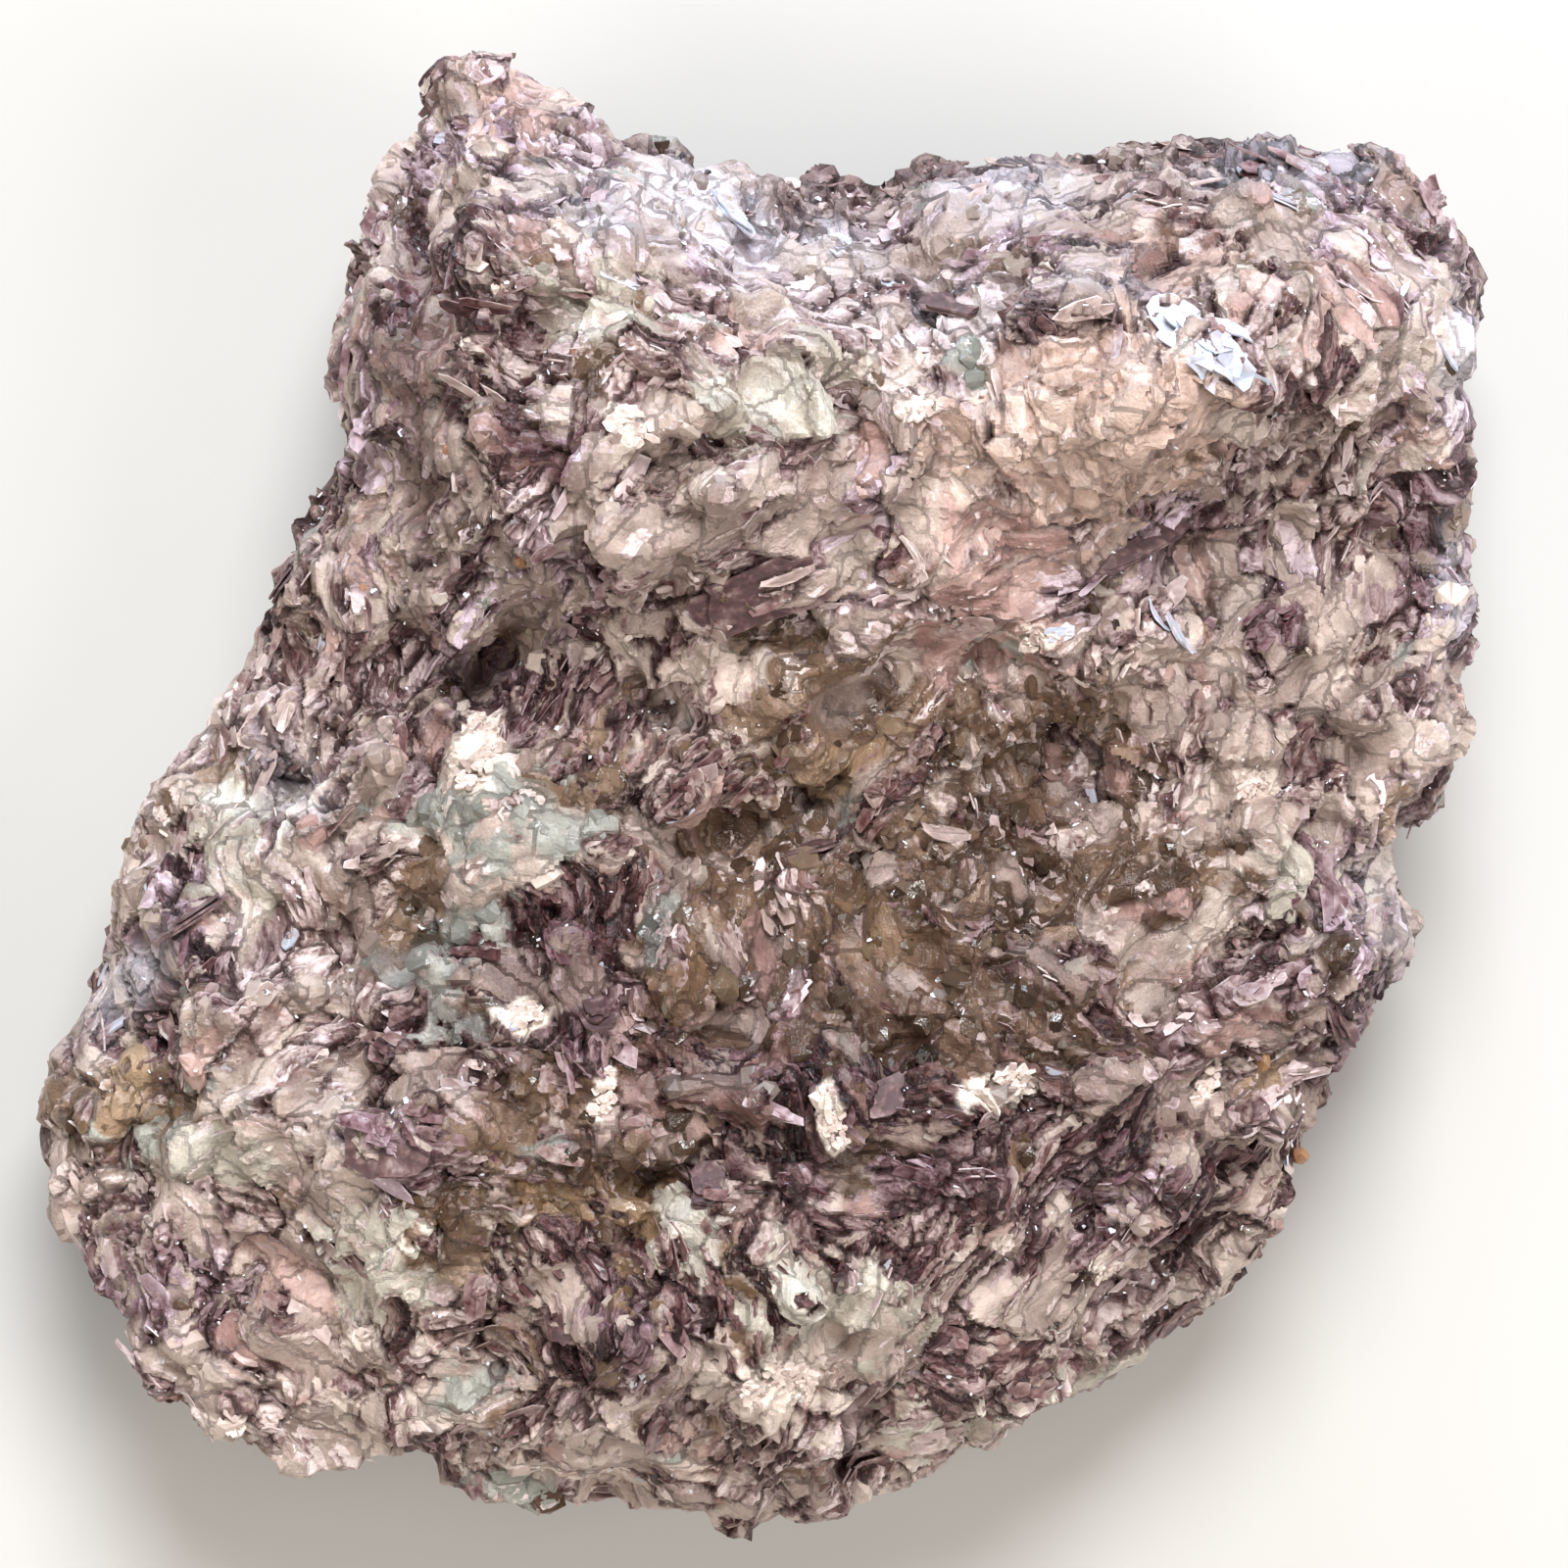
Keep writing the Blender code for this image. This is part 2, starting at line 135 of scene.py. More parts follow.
def facet(place, key, step, slope):
    # a plane over each cell: step * chance + slope * (place in the cell · seeded way)
    way = np.stack([chance(key, 21), chance(key, 22), chance(key, 23)], 1) - 0.5
    return step * (2 * chance(key, 24) - 1) + 2 * slope * dot(place, way)


def unit(vectors):
    # each vector over its own length
    return vectors / np.maximum(np.linalg.norm(vectors, axis=-1, keepdims=True), 1e-12)


def dot(first, second):
    # the products of like coordinates, added up
    return (first * second).sum(-1)


def waves(points, size, seed, count=12):
    # smooth noise about 1 high: a sum of plane waves with seeded ways, lengths and phases
    rng = np.random.default_rng(seed)
    ways = unit(rng.normal(size=(count, 3)))
    lengths = size * rng.uniform(0.6, 1.6, count)
    phases = rng.uniform(0, 2 * math.pi, count)
    return np.sin(points @ (ways / lengths[:, None] * 2 * math.pi).T + phases).sum(1) / math.sqrt(count)


def smooth(low, high, values):
    # 0 below low, 1 above high, and 3t² - 2t³ between
    share = np.clip((values - low) / (high - low), 0, 1)
    return share * share * (3 - 2 * share)


def cornerMeans(values, quads, count):
    # for each corner, the unit sum of the vectors of the quads that meet there
    total = np.zeros((count, 3))
    for corner in range(4):
        for axis in range(3):
            total[:, axis] += np.bincount(quads[:, corner], values[:, axis], count)
    return unit(total)


def normalsOf(points, quads, rounds):
    # each quad's normal is the cross product of its diagonals; the corners' means are then spread over
    # their neighbours a few rounds, so that places near each other agree
    face = np.cross(points[quads[:, 2]] - points[quads[:, 0]], points[quads[:, 3]] - points[quads[:, 1]])
    normals = cornerMeans(face, quads, len(points))
    for _ in range(rounds):
        normals = cornerMeans(normals[quads].sum(1), quads, len(points))
    return normals


def newPiece(name, points, faces, attributes):
    # faces is a whole array of triangles or of quads; an attribute is a number or a colour for each corner
    mesh = bpy.data.meshes.new(name)
    mesh.vertices.add(len(points))
    mesh.vertices.foreach_set("co", points.astype(np.float32).ravel())
    mesh.loops.add(faces.size)
    mesh.loops.foreach_set("vertex_index", faces.astype(np.int32).ravel())
    mesh.polygons.add(len(faces))
    mesh.polygons.foreach_set("loop_start", np.arange(len(faces), dtype=np.int32) * faces.shape[1])
    mesh.update(calc_edges=True)
    for label, values in attributes.items():
        if values.ndim == 1:
            layer = mesh.attributes.new(label, "FLOAT", "POINT")
            layer.data.foreach_set("value", values.astype(np.float32))
        else:
            layer = mesh.attributes.new(label, "FLOAT_COLOR", "POINT")
            shades = np.concatenate([values, np.ones((len(values), 1))], 1)
            layer.data.foreach_set("color", shades.astype(np.float32).ravel())
    piece = bpy.data.objects.new(name, mesh)
    bpy.context.scene.collection.objects.link(piece)
    print(name, "has", len(faces) * (faces.shape[1] - 2), "triangles")
    return piece


# What each part of the broad face is made of: middle and half sizes in picture pixels, turn in degrees.
patches = {
    "feldspar": [
        ((130, 900), (32, 62), -70), ((325, 1160), (46, 50), 30), ((611, 1501), (60, 30), 0),
        ((620, 470), (46, 50), 0), ((700, 430), (50, 40), 0), ((420, 560), (24, 90), 14),
        ((560, 640), (40, 26), -20), ((1230, 1140), (40, 60), 0), ((1080, 1330), (60, 34), -20),
        ((720, 1380), (40, 30), 0), ((470, 1440), (60, 30), 0), ((330, 1440), (50, 26), 10),
        ((1370, 640), (36, 60), 10), ((1240, 760), (60, 30), 30), ((1260, 850), (60, 36), 20),
        ((690, 200), (50, 30), -20), ((960, 500), (52, 40), 10), ((1310, 250), (60, 24), 0),
        ((700, 1140), (34, 46), 20), ((430, 400), (26, 120), 6), ((560, 1300), (36, 26), 0),
        ((330, 900), (30, 70), 26), ((1060, 960), (40, 26), 0),
    ],
    "smoky": [
        ((862, 740), (106, 58), -8), ((1035, 780), (72, 60), 0), ((610, 774), (34, 52), 20),
        ((706, 988), (72, 46), -10), ((870, 950), (50, 56), 20), ((1222, 893), (44, 28), 10),
        ((128, 1140), (92, 44), -4), ((626, 1226), (54, 22), -6), ((1344, 953), (18, 20), 0),
        ((230, 795), (22, 16), 0), ((143, 852), (18, 14), 0), ((980, 1040), (70, 40), -20),
        ((520, 1150), (60, 50), 30), ((940, 870), (70, 50), 10), ((1130, 880), (40, 60), 0),
        ((800, 850), (50, 40), 0), ((960, 700), (60, 40), 0), ((1060, 900), (50, 50), 0),
        ((880, 1170), (46, 30), 0), ((660, 1080), (50, 30), 30), ((790, 650), (40, 26), 0),
        ((1140, 760), (40, 40), 0), ((860, 1015), (110, 46), -8), ((740, 900), (60, 44), 0),
        ((1010, 970), (90, 46), 10), ((650, 1165), (80, 30), 10), ((480, 1225), (70, 34), 0),
        ((1090, 1040), (60, 30), 0),
    ],
    "blue": [
        ((455, 835), (40, 26), -6), ((459, 1010), (42, 52), 10), ((149, 1156), (40, 30), 0),
        ((519, 1528), (46, 28), -18), ((953, 207), (30, 22), 0), ((1025, 672), (26, 40), 10),
        ((480, 1400), (30, 26), 0), ((530, 850), (60, 40), -6), ((486, 930), (50, 34), 0),
    ],
    "peach": [
        ((1110, 440), (108, 98), 0), ((1179, 280), (58, 34), 0), ((966, 463), (46, 42), 0),
        ((585, 76), (32, 26), 0), ((1075, 153), (30, 18), 0),
    ],
    "pink": [
        ((520, 122), (50, 46), 0), ((1010, 616), (82, 96), 0), ((828, 352), (18, 14), 0),
        ((1448, 192), (20, 18), 0), ((1448, 448), (26, 16), 0), ((477, 818), (20, 28), 0),
        ((672, 1103), (30, 46), 20), ((260, 1436), (46, 26), 0), ((540, 1480), (30, 20), 0),
    ],
    "amber": [
        ((622, 1206), (70, 34), 20), ((655, 1312), (18, 22), 0), ((742, 1268), (18, 16), 0),
        ((584, 1106), (36, 26), 0), ((700, 1010), (50, 26), 10), ((860, 780), (40, 22), 0),
        ((128, 1130), (50, 20), 0), ((900, 960), (30, 34), 0), ((1283, 1083), (16, 18), 0),
    ],
    "frosted": [
        ((798, 417), (78, 46), 10), ((606, 321), (56, 34), 20), ((840, 1322), (104, 38), 4),
        ((1325, 892), (66, 36), 10), ((250, 840), (60, 38), 20), ((394, 1288), (62, 66), 0),
        ((240, 1180), (44, 30), 0), ((959, 1451), (56, 36), 20), ((1150, 1440), (44, 24), -30),
        ((700, 1250), (30, 40), 0),
    ],
}

# The rock is a mosaic of grains, drawn out along its wide cells' ways: sizes in millimetres along, out and
# across. A named place holds mostly its own mineral, and the rest is shared out by chance, with less
# feldspar in the wide cells that are dark. Sizes and heights are in metres otherwise.
grains = {
    "coarse": (4.8, 3.0, 2.0),
    "fine": (2.5, 1.4, 0.85),
    "seed": 5,
    "divided": 0.38,  # share of the coarse cells that are cut into fine ones
    "warp": (0.00020, 0.0017, 23),  # how far the borders wander, over what length, and the seed
    "shift": 90,  # millimetres, so that the cells' numbers stay above 0
    "fade": 0.5,  # millimetres over which a named patch fades, to either side of its edge
    "frontFrom": 0.0080,  # the patches lie on the broad face, from this height up to
    "frontTo": 0.0110,  # wholly here
    "hold": {
        "feldspar": 0.88, "smoky": 0.80, "blue": 0.86, "peach": 0.94, "pink": 0.75, "amber": 0.80,
        "frosted": 0.94,
    },
    "share": {"smoky": 0.04, "blue": 0.006, "pink": 0.06},
    "pale": (0.72, -0.84, 0.04),  # share of feldspar in the palest cell, its fall to the darkest, the least
}

# A grain's colour lies along its mineral's row by a number of its own.
grainRows = {
    "feldspar": [(146, 127, 118), (170, 151, 142), (186, 168, 157), (206, 190, 179)],
    "smoky": [(70, 50, 38), (98, 76, 60), (122, 98, 80), (148, 124, 106)],
    "blue": [(132, 132, 124), (150, 151, 143), (172, 172, 163)],
    "peach": [(175, 147, 134), (196, 169, 155), (214, 189, 176)],
    "pink": [(140, 106, 100), (170, 138, 130), (194, 166, 156)],
    "amber": [(114, 88, 64), (138, 112, 86), (160, 134, 108)],
    "frosted": [(166, 158, 144), (184, 176, 162), (198, 191, 178), (208, 202, 190)],
}


# How uneven the edges of patches are: each wave's share of the reach, its length in metres and its seed.
unevenness = {
    "grain": [(0.10, 0.0045, 21), (0.08, 0.0019, 22)],
    "stainAndShade": [(0.25, 0.0030, 25)],
    "cream": [(0.22, 0.0016, 26)],
}


def unevenAt(points, name):
    # the sum of share · waves
    return sum(share * waves(points, length, seed) for share, length, seed in unevenness[name])


def onFront(points):
    # 0 on the flanks and 1 on the broad face, by height: from a tenth below to three tenths above frontTo
    return smooth(-0.1, 0.3, points[:, 2] / grains["frontTo"] - 1)


def kindNumber(kind):
    # the minerals are numbered from 1 in the order of the patches; 0 is mica
    return list(patches).index(kind) + 1


def patchReach(points, middle, half, turn):
    # how far out of a patch a place lies on the plan, 1 on its edge: length of
    # (across / half, along / half) in the patch's own turned frame
    plan = points[:, :2] - onPlan(middle)
    c, s = math.cos(math.radians(turn)), math.sin(math.radians(turn))
    across = (plan[:, 0] * c + plan[:, 1] * s) / (half[0] * picture["pixel"])
    along = (plan[:, 1] * c - plan[:, 0] * s) / (half[1] * picture["pixel"])
    return np.hypot(across, along)


def namedPlaces(points, front):
    # how surely a place lies in each mineral's named patches: its depth in the nearest ellipse is
    # (1 - reach) · the lesser half size, and it goes from 0 to 1 over the fade on both sides of the edge
    uneven = unevenAt(points, "grain")
    surely = {}
    for kind, places in patches.items():
        depth = np.full(len(points), -np.inf)
        for middle, half, turn in places:
            reach = patchReach(points, middle, half, turn) + uneven
            depth = np.maximum(depth, (1 - reach) * min(half) * picture["pixel"] / millimetre)
        surely[kind] = smooth(-grains["fade"], grains["fade"], depth) * front
    return surely


def kindOf(centres, keys, dark):
    # a grain's mineral is that of the named patch at its middle, or one drawn by chance; 0 is mica
    kinds = np.zeros(len(keys), int)
    draw = chance(keys, 4)
    most, fall, least = grains["pale"]
    low = np.maximum(most + fall * dark, least)
    kinds[draw < low] = kindNumber("feldspar")
    for kind, share in grains["share"].items():
        kinds[(draw >= low) & (draw < low + share)] = kindNumber(kind)
        low = low + share
    front = smooth(grains["frontFrom"], grains["frontTo"], centres[:, 2])
    for number, (kind, surely) in enumerate(namedPlaces(centres, front).items()):
        kinds[chance(keys, 5 + number) < surely * grains["hold"][kind]] = number + 1
    return kinds


def grainsAt(points, wide):
    # coarse cells in the frames of the wide ones, some of them divided into fine ones, with the kind on each
    # side of the nearest border; place = local + warp in the wide cell's frame
    far, length, seed = grains["warp"]
    warp = far * np.stack([waves(points, length, seed + axis) for axis in range(3)], 1)
    ways = np.stack([wide["along"], wide["out"], wide["across"]], 1)
    place = wide["local"] + np.einsum("pij,pj->pi", ways, warp) / millimetre + grains["shift"]
    family = familyOf(wide["key"])
    coarse = cellsOf(place, np.array(grains["coarse"]), grains["seed"], family)
    fine = cellsOf(place, np.array(grains["fine"]), grains["seed"] + 1, family)
    divided = chance(coarse["key"], 3) < grains["divided"]
    cells = {}
    for label, values in coarse.items():
        chosen = divided if values.ndim == 1 else divided[:, None]
        cells[label] = np.where(chosen, fine[label], values)
    for label in ("own", "other"):
        cells[label] = np.einsum("pji,pj->pi", ways, cells[label]) * millimetre
    cells["border"] = cells["border"] * millimetre
    cells["kind"] = kindOf(points - cells["own"], cells["key"], wide["dark"])
    cells["otherKind"] = kindOf(points - cells["other"], cells["otherKey"], wide["dark"])
    return cells


def grainShade(kinds, keys):
    # straight from one colour of the mineral's row to the next, by the grain's own number
    shades = np.zeros((len(keys), 3))
    for number, kind in enumerate(patches):
        here = kinds == number + 1
        row = np.array([colour(*shade)[:3] for shade in grainRows[kind]])
        spot = chance(keys[here], 44)
        for channel in range(3):
            shades[here, channel] = np.interp(spot, np.linspace(0, 1, len(row)), row[:, channel])
    return shades


# Which way the mica books lie: middle and half sizes in picture pixels, the way their edges run on the
# picture in degrees, how steeply they stand in degrees, and how dark they are.
bookWays = [
    ((420, 620), (150, 120), 64, 76, 0.50), ((300, 760), (150, 110), 56, 74, 0.48),
    ((210, 930), (80, 80), 48, 66, 0.90), ((130, 1040), (110, 60), 24, 60, 0.35),
    ((390, 340), (60, 180), 80, 66, 0.40), ((520, 140), (120, 90), -55, 60, 0.40),
    ((640, 250), (160, 70), -22, 55, 0.20), ((690, 330), (130, 60), -18, 58, 0.30),
    ((556, 476), (70, 40), -24, 78, 0.90), ((740, 545), (120, 50), 24, 66, 0.35),
    ((650, 600), (90, 50), 30, 70, 0.50), ((900, 560), (50, 90), -70, 74, 0.50),
    ((960, 300), (110, 60), -10, 62, 0.60), ((1150, 210), (220, 60), 12, 50, 0.35),
    ((1380, 230), (110, 90), -50, 58, 0.40), ((1160, 565), (110, 50), 34, 76, 0.85),
    ((1320, 600), (130, 90), 30, 60, 0.50), ((1475, 500), (45, 300), 82, 72, 0.25),
    ((1390, 1000), (60, 120), 62, 74, 0.55), ((1240, 720), (110, 90), 40, 56, 0.35),
    ((900, 620), (70, 60), -60, 60, 0.45), ((610, 1010), (60, 80), -72, 76, 0.65),
    ((820, 1110), (130, 70), -66, 74, 0.78), ((1000, 1110), (130, 60), -24, 70, 0.66),
    ((1150, 1190), (110, 60), 44, 76, 0.80), ((650, 1330), (90, 80), -66, 72, 0.75),
    ((430, 1180), (110, 60), -20, 30, 0.50), ((180, 1330), (120, 60), 20, 72, 0.60),
    ((930, 1250), (140, 50), 70, 66, 0.55), ((1180, 1330), (120, 60), 50, 60, 0.42),
    ((1270, 1020), (90, 80), 20, 60, 0.55), ((1080, 640), (60, 60), 30, 60, 0.45),
    ((760, 1470), (200, 60), 66, 64, 0.50), ((400, 1400), (140, 50), 10, 60, 0.45),
    ((290, 1060), (130, 60), 40, 60, 0.40), ((560, 700), (90, 60), 50, 72, 0.55),
    ((700, 1060), (90, 50), -40, 60, 0.85), ((880, 1040), (80, 50), 20, 60, 0.90),
    ((1060, 1010), (70, 50), 30, 60, 0.80), ((640, 1260), (80, 50), -60, 60, 0.85),
    ((470, 860), (120, 60), 10, 50, 0.20), ((860, 640), (80, 50), 20, 56, 0.30),
    ((1250, 860), (80, 60), 30, 60, 0.20), ((760, 560), (90, 50), 20, 56, 0.25),
    ((250, 1200), (90, 60), 20, 60, 0.30),
]
# Round the named places the rock is cut into wide cells of one way each, these into long books, and the
# books into flakes. Sizes in metres, but a book's and a flake's in millimetres along, out and across.
domains = {
    "size": 0.0080,
    "seed": 31,
    "bend": (0.0005, 0.007, 33, 6),  # how far the cells' borders wander, over what length, seed and waves
    "book": (5.2, 2.6, 1.7),
    "bookShift": 60,  # millimetres, so that the cells' numbers stay above 0
    "flake": (2.8, 1.5, 0.60),
    "flakeShift": 40,
    "flakeSeed": 71,
    "turn": 22,  # degrees by which a wide cell turns from its named place
    "steep": 18,  # degrees by which its lean differs
    "bookTurn": 0.16,  # radians by which a book turns and rolls from its wide cell
    "bookRoll": 0.26,
    "front": (0.2, 0.010),  # how far up a cell faces, and how high it lies, to follow a named place
    "reach": 1.3,  # and how near to it, in half sizes
    "elsewhere": ((0, 180), (30, 50), (0.25, 0.5)),  # start and span of way, lean and darkness elsewhere
    "tilt": 0.4,
    "weakest": 0.3,  # what is left of the edges' own way, below which it stands on end
    "spareWay": (0.3, 0.1, 1.0),  # and which is then crossed with the outward way instead
    "tone": (0.90, -0.86, 0.30, 0.30),  # palest, its fall with darkness, spread of wide cells and of books
    "patternShift": 20,  # millimetres of pattern over which books and flakes start
}


def rolled(first, second, angle):
    # two crossed ways turned in their own plane: first · cos + second · sin, and second · cos - first · sin
    c, s = np.cos(angle)[:, None], np.sin(angle)[:, None]
    return first * c + second * s, second * c - first * s


def wideAt(points):
    # a wide cell's way runs along its edges, from the nearest named place where there is one and seeded
    # elsewhere, and its sheets lean from the rock's own outward way, that of an egg of the rock's size:
    # (place - middle) / size²; local is the place in the cell's frame in millimetres
    far, length, seed, count = domains["bend"]
    bent = points + far * np.stack([waves(points, length, seed + axis, count) for axis in range(3)], 1)
    cells = cellsOf(bent, domains["size"], domains["seed"])
    wide, away = cells["key"], cells["own"]
    centres = bent - away
    low, high = (np.array(corner) for corner in cadBox)
    outward = unit((centres - (low + high) / 2) / (high - low) ** 2)
    strike, steep, dark = (
        start + span * chance(wide, 11 + number) for number, (start, span) in enumerate(domains["elsewhere"])
    )
    nearest = np.full(len(points), domains["reach"])
    facing, height = domains["front"]
    front = (outward[:, 2] > facing) & (centres[:, 2] > height)
    for middle, half, way, stand, darkness in bookWays:
        plan = (centres[:, :2] - onPlan(middle)) / (np.array(half) * picture["pixel"])
        reach = np.hypot(plan[:, 0], plan[:, 1])
        closer = front & (reach < nearest)
        nearest = np.where(closer, reach, nearest)
        strike = np.where(closer, way, strike)
        steep = np.where(closer, stand, steep)
        dark = np.where(closer, darkness, dark)
    angle = np.radians(strike + domains["turn"] * (chance(wide, 14) - 0.5))
    lean = np.radians(steep + domains["steep"] * (chance(wide, 15) - 0.5))
    along = np.stack([np.cos(angle), np.sin(angle), domains["tilt"] * (chance(wide, 17) - 0.5)], 1)
    along -= outward * dot(along, outward)[:, None]
    weak = np.linalg.norm(along, axis=1) < domains["weakest"]
    along[weak] = np.cross(outward[weak], domains["spareWay"])
    along = unit(along)
    side = np.cross(along, outward) * np.where(chance(wide, 18) < 0.5, -1, 1)[:, None]
    across = outward * np.cos(lean)[:, None] + side * np.sin(lean)[:, None]
    out = np.cross(across, along)
    local = np.stack([dot(away, along), dot(away, out), dot(away, across)], 1) / millimetre
    return {"key": wide, "along": along, "out": out, "across": across, "local": local, "dark": dark,
            "border": cells["border"]}


def bookAt(wide):
    # each book is turned and rolled a little from its wide cell, and local is the place in the book's own
    # frame in millimetres: along, out and across its sheets
    along, out, across = wide["along"], wide["out"], wide["across"]
    place = wide["local"] + domains["bookShift"]
    books = cellsOf(place, np.array(domains["book"]), domains["seed"] + 1, familyOf(wide["key"]))
    book = books["key"]
    away = along * books["own"][:, :1] + out * books["own"][:, 1:2] + across * books["own"][:, 2:]
    along, out = rolled(along, out, domains["bookTurn"] * (2 * chance(book, 14) - 1))
    across, out = rolled(across, out, domains["bookRoll"] * (2 * chance(book, 15) - 1))
    out = np.cross(across, along)
    local = np.stack([dot(away, along), dot(away, out), dot(away, across)], 1)
    high, fall, wideSpread, bookSpread = domains["tone"]
    tone = high + fall * wide["dark"] + wideSpread * (chance(wide["key"], 16) - 0.5)
    tone += bookSpread * (chance(book, 16) - 0.5)
    border = np.minimum(books["border"] * millimetre, wide["border"])
    split = chance(book ^ books["otherKey"], 19)
    return {"key": book, "along": along, "out": out, "across": across, "tone": tone, "local": local,
            "border": border, "split": split}


# The rock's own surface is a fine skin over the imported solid, finer on the broad face. Sizes in metres.
skin = {
    "weld": 1e-7,
    "voxel": 0.00050,
    "fineAbove": 0.0085,  # the broad face starts at this height
    "fineFacing": 0.1,  # where it looks up by this much
    "rounds": (2, 3),  # rounds of evening out the normals, before and after the split
    "sharp": 22,  # degrees from which an edge is sharp
    "mostQuads": 96000,  # quads to a piece
    "floorGap": 0.00002,
    "blocks": {"size": 0.0044, "seed": 78, "step": 0.00040, "slope": 0.24, "blend": 0.0004},
    "grainBlend": 0.00022,
    "facetSize": 0.0009,
    "facetSeed": 81,
    "facetBlend": 0.00016,
    "flakeBlend": 0.16,  # millimetres
    "clip": 0.00028,  # the most that a sheet's plane rises or falls
    "flatSheet": (0.2, 0.5, 0.3, 0.7),  # facings from rib to plane, least facing, how far the rib goes
    "edgeStep": 0.00016,
    "bookStep": 0.00024,
    "gap": 0.00015,  # depth of the seams
    "gapWidth": 0.09,  # millimetres, between flakes
    "gapShare": 0.6,  # share of the flakes that have one
    "seam": 0.00014,  # width of a seam between books or grains
    "grainSeam": 0.22,  # how much of a seam there is between grains
    # in deep, the last number is how far a crevice in a grain darkens the colour, as painted shade
    "deep": {"depth": 0.00040, "width": 0.00024, "share": 0.30, "inGrain": 0.15, "paintedShadeInGrain": 0.12},
    "trace": 0.02,  # a little feldspar in the mica's colour, so that it never divides by 0
    "toneSpread": 0.34,  # how much one flake's tone differs from the next one's
    "glassy": ("smoky", "blue", "amber", "frosted"),
    "near": (0.15, 65),  # how far up the skin faces where a plate is laid, and the percentile of its height
    "sides": (0.006, 0.012),  # heights between which loose flakes start
    # for each mineral: how far it stands out, how far a grain steps in or out and how much its face slopes,
    # and the same for the smaller breaks on it
    "looks": {
        "feldspar": (0.00008, 0.00012, 0.16, 0.00004, 0.10),
        "smoky": (-0.00010, 0.00018, 0.30, 0.00005, 0.24),
        "blue": (0.00004, 0.00010, 0.14, 0.00003, 0.10),
        "peach": (0.00014, 0.00022, 0.24, 0.00004, 0.12),
        "pink": (0.00004, 0.00012, 0.18, 0.00005, 0.18),
        "amber": (-0.00006, 0.00012, 0.22, 0.00005, 0.20),
        "frosted": (0.00012, 0.00012, 0.16, 0.00003, 0.08),
    },
}


# Darker and lighter parts of the broad face, part stain and part painted light and shade, and painted shade
# in its dark
# clefts and slits: middle and half sizes in picture pixels, turn in degrees, and how much of the light they
# give back.
stainsAndShade = [
    ((860, 1060), (330, 150), 0, 0.52), ((455, 440), (110, 110), 0, 0.84),
    ((450, 1060), (110, 80), 0, 0.72), ((1290, 1120), (160, 170), 0, 0.80),
    ((1080, 190), (320, 120), 0, 0.64), ((500, 660), (140, 70), 0, 0.92), ((670, 430), (140, 110), 0, 0.84),
    ((1270, 630), (120, 110), 0, 0.82), ((450, 780), (120, 60), 0, 1.14), ((980, 840), (240, 110), 0, 0.86),
    ((880, 400), (120, 90), 0, 0.92), ((900, 120), (170, 90), 0, 0.44), ((600, 210), (200, 90), -10, 0.90),
    ((560, 1440), (160, 60), 0, 1.08), ((640, 1030), (130, 90), 0, 0.74), ((440, 1290), (120, 90), 0, 1.12),
    ((1260, 850), (110, 70), 0, 1.10), ((434, 420), (20, 200), 3, 0.46), ((556, 476), (56, 20), -24, 0.30),
    ((400, 366), (36, 44), 0, 0.60), ((505, 676), (62, 10), 52, 0.40), ((160, 1336), (62, 9), 24, 0.45),
    ((284, 591), (30, 26), 0, 0.60), ((236, 1256), (40, 10), 30, 0.55), ((1135, 1196), (90, 12), 44, 0.55),
    ((812, 1118), (90, 16), -66, 0.60), ((1180, 560), (120, 14), 28, 0.60),
    ((1050, 820), (40, 50), 10, 0.62), ((900, 1110), (60, 24), 10, 0.62), ((660, 1345), (14, 60), 16, 0.60),
    ((1418, 520), (14, 130), 4, 0.60), ((330, 760), (150, 9), 50, 0.62),
]


def shadeAt(points):
    # each stain or patch of painted shade takes its part where it lies, fading by 1 / (1 + reach⁴) with an
    # uneven reach
    shade = np.ones(len(points))
    uneven = 1 + unevenAt(points, "stainAndShade")
    for middle, half, turn, kept in stainsAndShade:
        reach = patchReach(points, middle, half, turn) * uneven
        shade *= 1 + (kept - 1) / (1 + reach**4)
    return shade


# Cream patches with a crust of small flakes: middle and half sizes in picture pixels, turn in degrees, and
# how many flakes; the rest are the flakes' sizes and looks, in metres.
heaps = {
    "seed": 103, "corners": 6, "halfLength": (0.00018, 0.00048), "halfDepth": (0.00014, 0.00034),
    "halfThick": (0.00006, 0.00012), "bend": 0.00010, "height": 0.00006, "scatter": 0.34,
    "tone": (0.74, 1.08), "edge": (0.84, 1.06), "cover": 0.85,
    "places": [
        ((492, 768), (24, 44), -8, 80), ((795, 1402), (40, 34), -20, 90), ((1274, 802), (20, 20), 0, 40),
        ((1017, 1257), (16, 11), -30, 20), ((1052, 653), (22, 16), 10, 26), ((848, 1126), (13, 36), 12, 36),
        ((1013, 1103), (38, 18), 8, 50), ((1226, 1102), (9, 26), -24, 20), ((536, 1028), (26, 14), 0, 28),
        ((375, 1359), (16, 8), 30, 12), ((650, 450), (26, 16), -30, 30), ((930, 430), (20, 12), 10, 20),
        ((1130, 1290), (18, 12), 20, 18), ((622, 1106), (10, 30), -20, 24),
    ],
}


